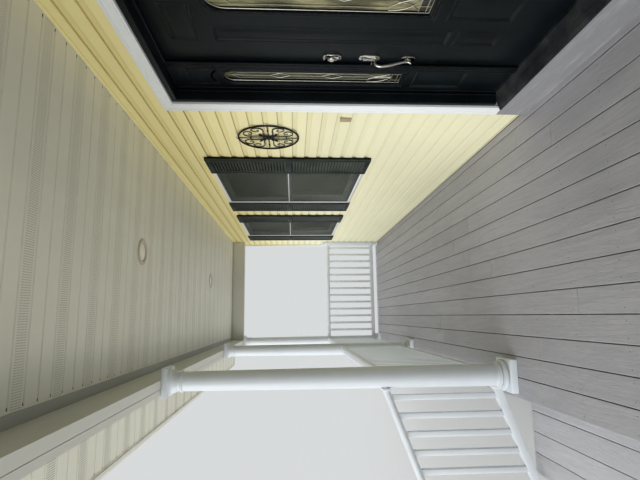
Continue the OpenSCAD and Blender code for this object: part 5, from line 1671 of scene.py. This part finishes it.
def shingleGrit():
    coat = Coat("shingleGrit", (0.105, 0.105, 0.108), 0.92)
    grit = coat.group(speckles, Vector=coat.place, Size=0.0022)
    coarse = coat.group(speckles, Vector=coat.place, Size=0.0045)["Grain"]
    coat.ground(coat.add("Attribute", attribute_name="tone")["Fac"], 0.72, 1.45)
    coat.layer(grit["Grain"], (0.24, 0.235, 0.225), 0.55)
    coat.layer(coat.spread(coarse, 0.8, 1.0), (0.035, 0.035, 0.036), 0.5)
    coat.layer(coat.clouds(0.5, 0.8, (1.6, 0.5, 0.5), 4.0), (0.20, 0.19, 0.165), 0.35)
    coat.bump(grit["Height"], 0.0016)
    return coat


def shingleRows(low, high, lift):
    # each course laps the one below it and is cut into tabs, and each tab has its own tone
    s, rows = roofSizes, []
    thick, tab, gap = s["thick"], s["tab"], s["slot"] / 2
    foot = Vector((0, low.y, roofUnder(low.y))) + offSlope * lift
    head = foot + upSlope * (s["course"] * 2 + 0.02)
    corners = [foot + offSlope * thick, head, head + offSlope * thick * 0.9, foot + offSlope * thick * 2]
    model = bar("tab", [(spot.y, spot.z) for spot in corners], "x", gap, tab - gap)
    count, length = ceil((high.x - low.x) / tab) + 1, (wallFace - low.y) / upSlope.y
    for row in range(ceil((length - 0.03) / s["course"])):
        climb = upSlope * row * s["course"]
        course = repeated(copied(model, (low.x + ((row % 3) / 3 - 1) * tab, climb.y, climb.z)), count, (tab, 0, 0))
        toned(course, [scatter(row * 61 + i // 8, 7) for i in range(8 * count)])
        sliced(course, (low.x + 0.002, 0, 0), (-1, 0, 0))
        sliced(course, (high.x - 0.002, 0, 0), (1, 0, 0))
        if row > length / s["course"] - 4:
            sliced(course, (0, wallFace - 0.001, 0), (0, 1, 0))
        rows.append(course)
    bpy.data.objects.remove(model)
    return rows


def makeRoof():
    s, (low, high) = roofSizes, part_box("roof")
    sheet = s["thickness"] - 2 * s["thick"] - 0.002
    rise, full, edge, inset = sheet / upSlope.y, s["thickness"] / upSlope.y, low.y, s["edge"]
    above = lambda y, off=0.0: (y, roofUnder(y) + off)
    slab = lambda y: [above(y), above(wallFace), above(wallFace, rise), above(y, rise)]
    # roof deck, plumb at the eave and at the wall
    deck = bar("roofDeck", slab(edge + inset), "x", low.x + inset, high.x - inset)
    dress("roofDeck", [deck], rawTimber("roofTimber"), "framing")
    dress("roofShingles", shingleRows(low, high, sheet - s["thick"] + 0.0005), shingleGrit(), "shingles", ["roof"])
    foot, lip, lap = roofUnder(edge), edge + s["dripLip"], wallFace - s["flashingLap"]
    eave = [(edge + 0.002, foot - 0.004), (edge, foot - 0.004), (edge, foot + rise), above(lip, rise + 0.0012),
            above(lip, rise), (edge + 0.002, foot + rise - 0.002)]
    # flashing that runs up the wall and over the last course
    top = roofUnder(wallFace) + full
    head = top + s["flashingRise"]
    flashing = [(wallFace - 0.0118, head), (wallFace - 0.0118, top + 0.003), above(lap, full + 0.002),
                above(lap, full - 0.002), (wallFace - 0.0128, top - 0.006), (wallFace + 0.001, top - 0.004),
                (wallFace + 0.001, head)]
    parts = [bar("dripEdge", eave, "x", low.x, high.x), bar("flashing", flashing, "x", -wallHigh.x, wallHigh.x)]
    parts += [bar("rakeEdge", slab(edge), "x", sign * high.x, sign * (high.x - 0.003)) for sign in (-1, 1)]
    dress("roofMetal", parts, coilMetal("dripEdgeMetal", (0.74, 0.73, 0.68)), "gutter")
    paint("fascia", coilMetal("fasciaCoil", (0.72, 0.71, 0.64)))
    paint("rake_boards", coilMetal("rakeCoil", (0.72, 0.71, 0.64)))
    print("Roof laid")


strapSizes = {"count": 23, "end": 0.30}


def makeGutter():
    # the CAD trough stays; straps across it and their clips and nails are added
    (low, high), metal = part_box("gutter"), coilMetal("gutterCoil", (0.76, 0.755, 0.71))
    paint("gutter", metal)
    first, count = low.x + strapSizes["end"], strapSizes["count"]
    parts = [block(name, (first - half, y0, high.z - drop), (first + half, y1, high.z - rise), 0.001, 1)
             for name, half, y0, y1, drop, rise in (("strap", 0.011, low.y + 0.004, high.y - 0.001, 0.012, 0.009),
                                                    ("clip", 0.013, low.y + 0.001, low.y + 0.008, 0.017, 0.006),
                                                    ("nail", 0.004, high.y - 0.006, high.y, 0.016, 0.007))]
    step = (high.x - low.x - 2 * strapSizes["end"]) / (count - 1)
    dress("gutterStraps", [repeated(joined(parts), count, (step, 0, 0))], metal, "gutter")
    print("Gutter hung")


beamSizes = {"ledge": 0.054, "drop": 0.006, "lap": 0.040, "proud": 0.0007, "laps": (-5.55, -2.85, 0.72, 2.85, 5.55)}


def makeTrims():
    s = beamSizes
    wrap = vinyl("beamWrap", (0.62, 0.62, 0.58), 0.42, fine=0.25, waves=0.8, dirt=0.12)
    # painted shade: the inner face and the underside of the ledge over it are made a little darker and bluer, and the
    # wrap above the ledge much darker, for the shade in the corner under the ceiling
    shelf, height = ceilingLow.z - s["drop"], wrap.axis("Z")
    above = wrap.maths("GREATER_THAN", height, shelf - 0.004)
    under = wrap.times(wrap.spread(wrap.normal("Z"), -0.4, -0.8), above)
    wrap.tint(wrap.maths("MAXIMUM", wrap.spread(wrap.normal("Y"), 0.4, 0.8), under), (0.92, 0.94, 0.98))
    wrap.tint(wrap.spread(height, shelf - 0.004, shelf - 0.001), (0.60, 0.60, 0.58))
    corner = vinyl("cornerVinyl", (0.80, 0.81, 0.79), 0.42, fine=0.6, waves=0.3, upright=True, dirt=0.2)
    timber, stone = rawTimber("framingTimber"), concrete("castConcrete")
    for node, coat in (("beam_front", wrap), ("beam_ends", wrap), ("corner_boards", corner), ("foundation", stone),
                       ("deck_piers", stone), ("deck_frame", timber), ("skirt_posts", timber)):
        paint(node, coat)
    # lapped joints where two lengths of the beam's sheet meet, clear of the columns
    laps, front, foot, face = [], beamLow.y, beamLow.z, beamHigh.y - s["ledge"]
    for x in s["laps"]:
        for y0, z0, y1, z1 in ((front - s["proud"], foot, front + 0.0003, beamHigh.z),
                               (face - 0.0003, foot, face + s["proud"], shelf),
                               (front, foot - s["proud"], face, foot + 0.0003)):
            laps.append(block("lap", (x, y0, z0), (x + s["lap"], y1, z1)))
    dress("beamLaps", laps, wrap, "white_trim")
    print("Beam, corners and framing finished")


addCamera()
addStudio()
makeDeck()
makeColumns()
makeRailings()
wallCoat = makeSiding()
makeCeiling()
makeDoor()
makeWindows()
makeShutters()
makeLights()
makeOrnament()
makeDoorbell()
makeRoof()
makeGutter()
makeGables(wallCoat)
makeTrims()
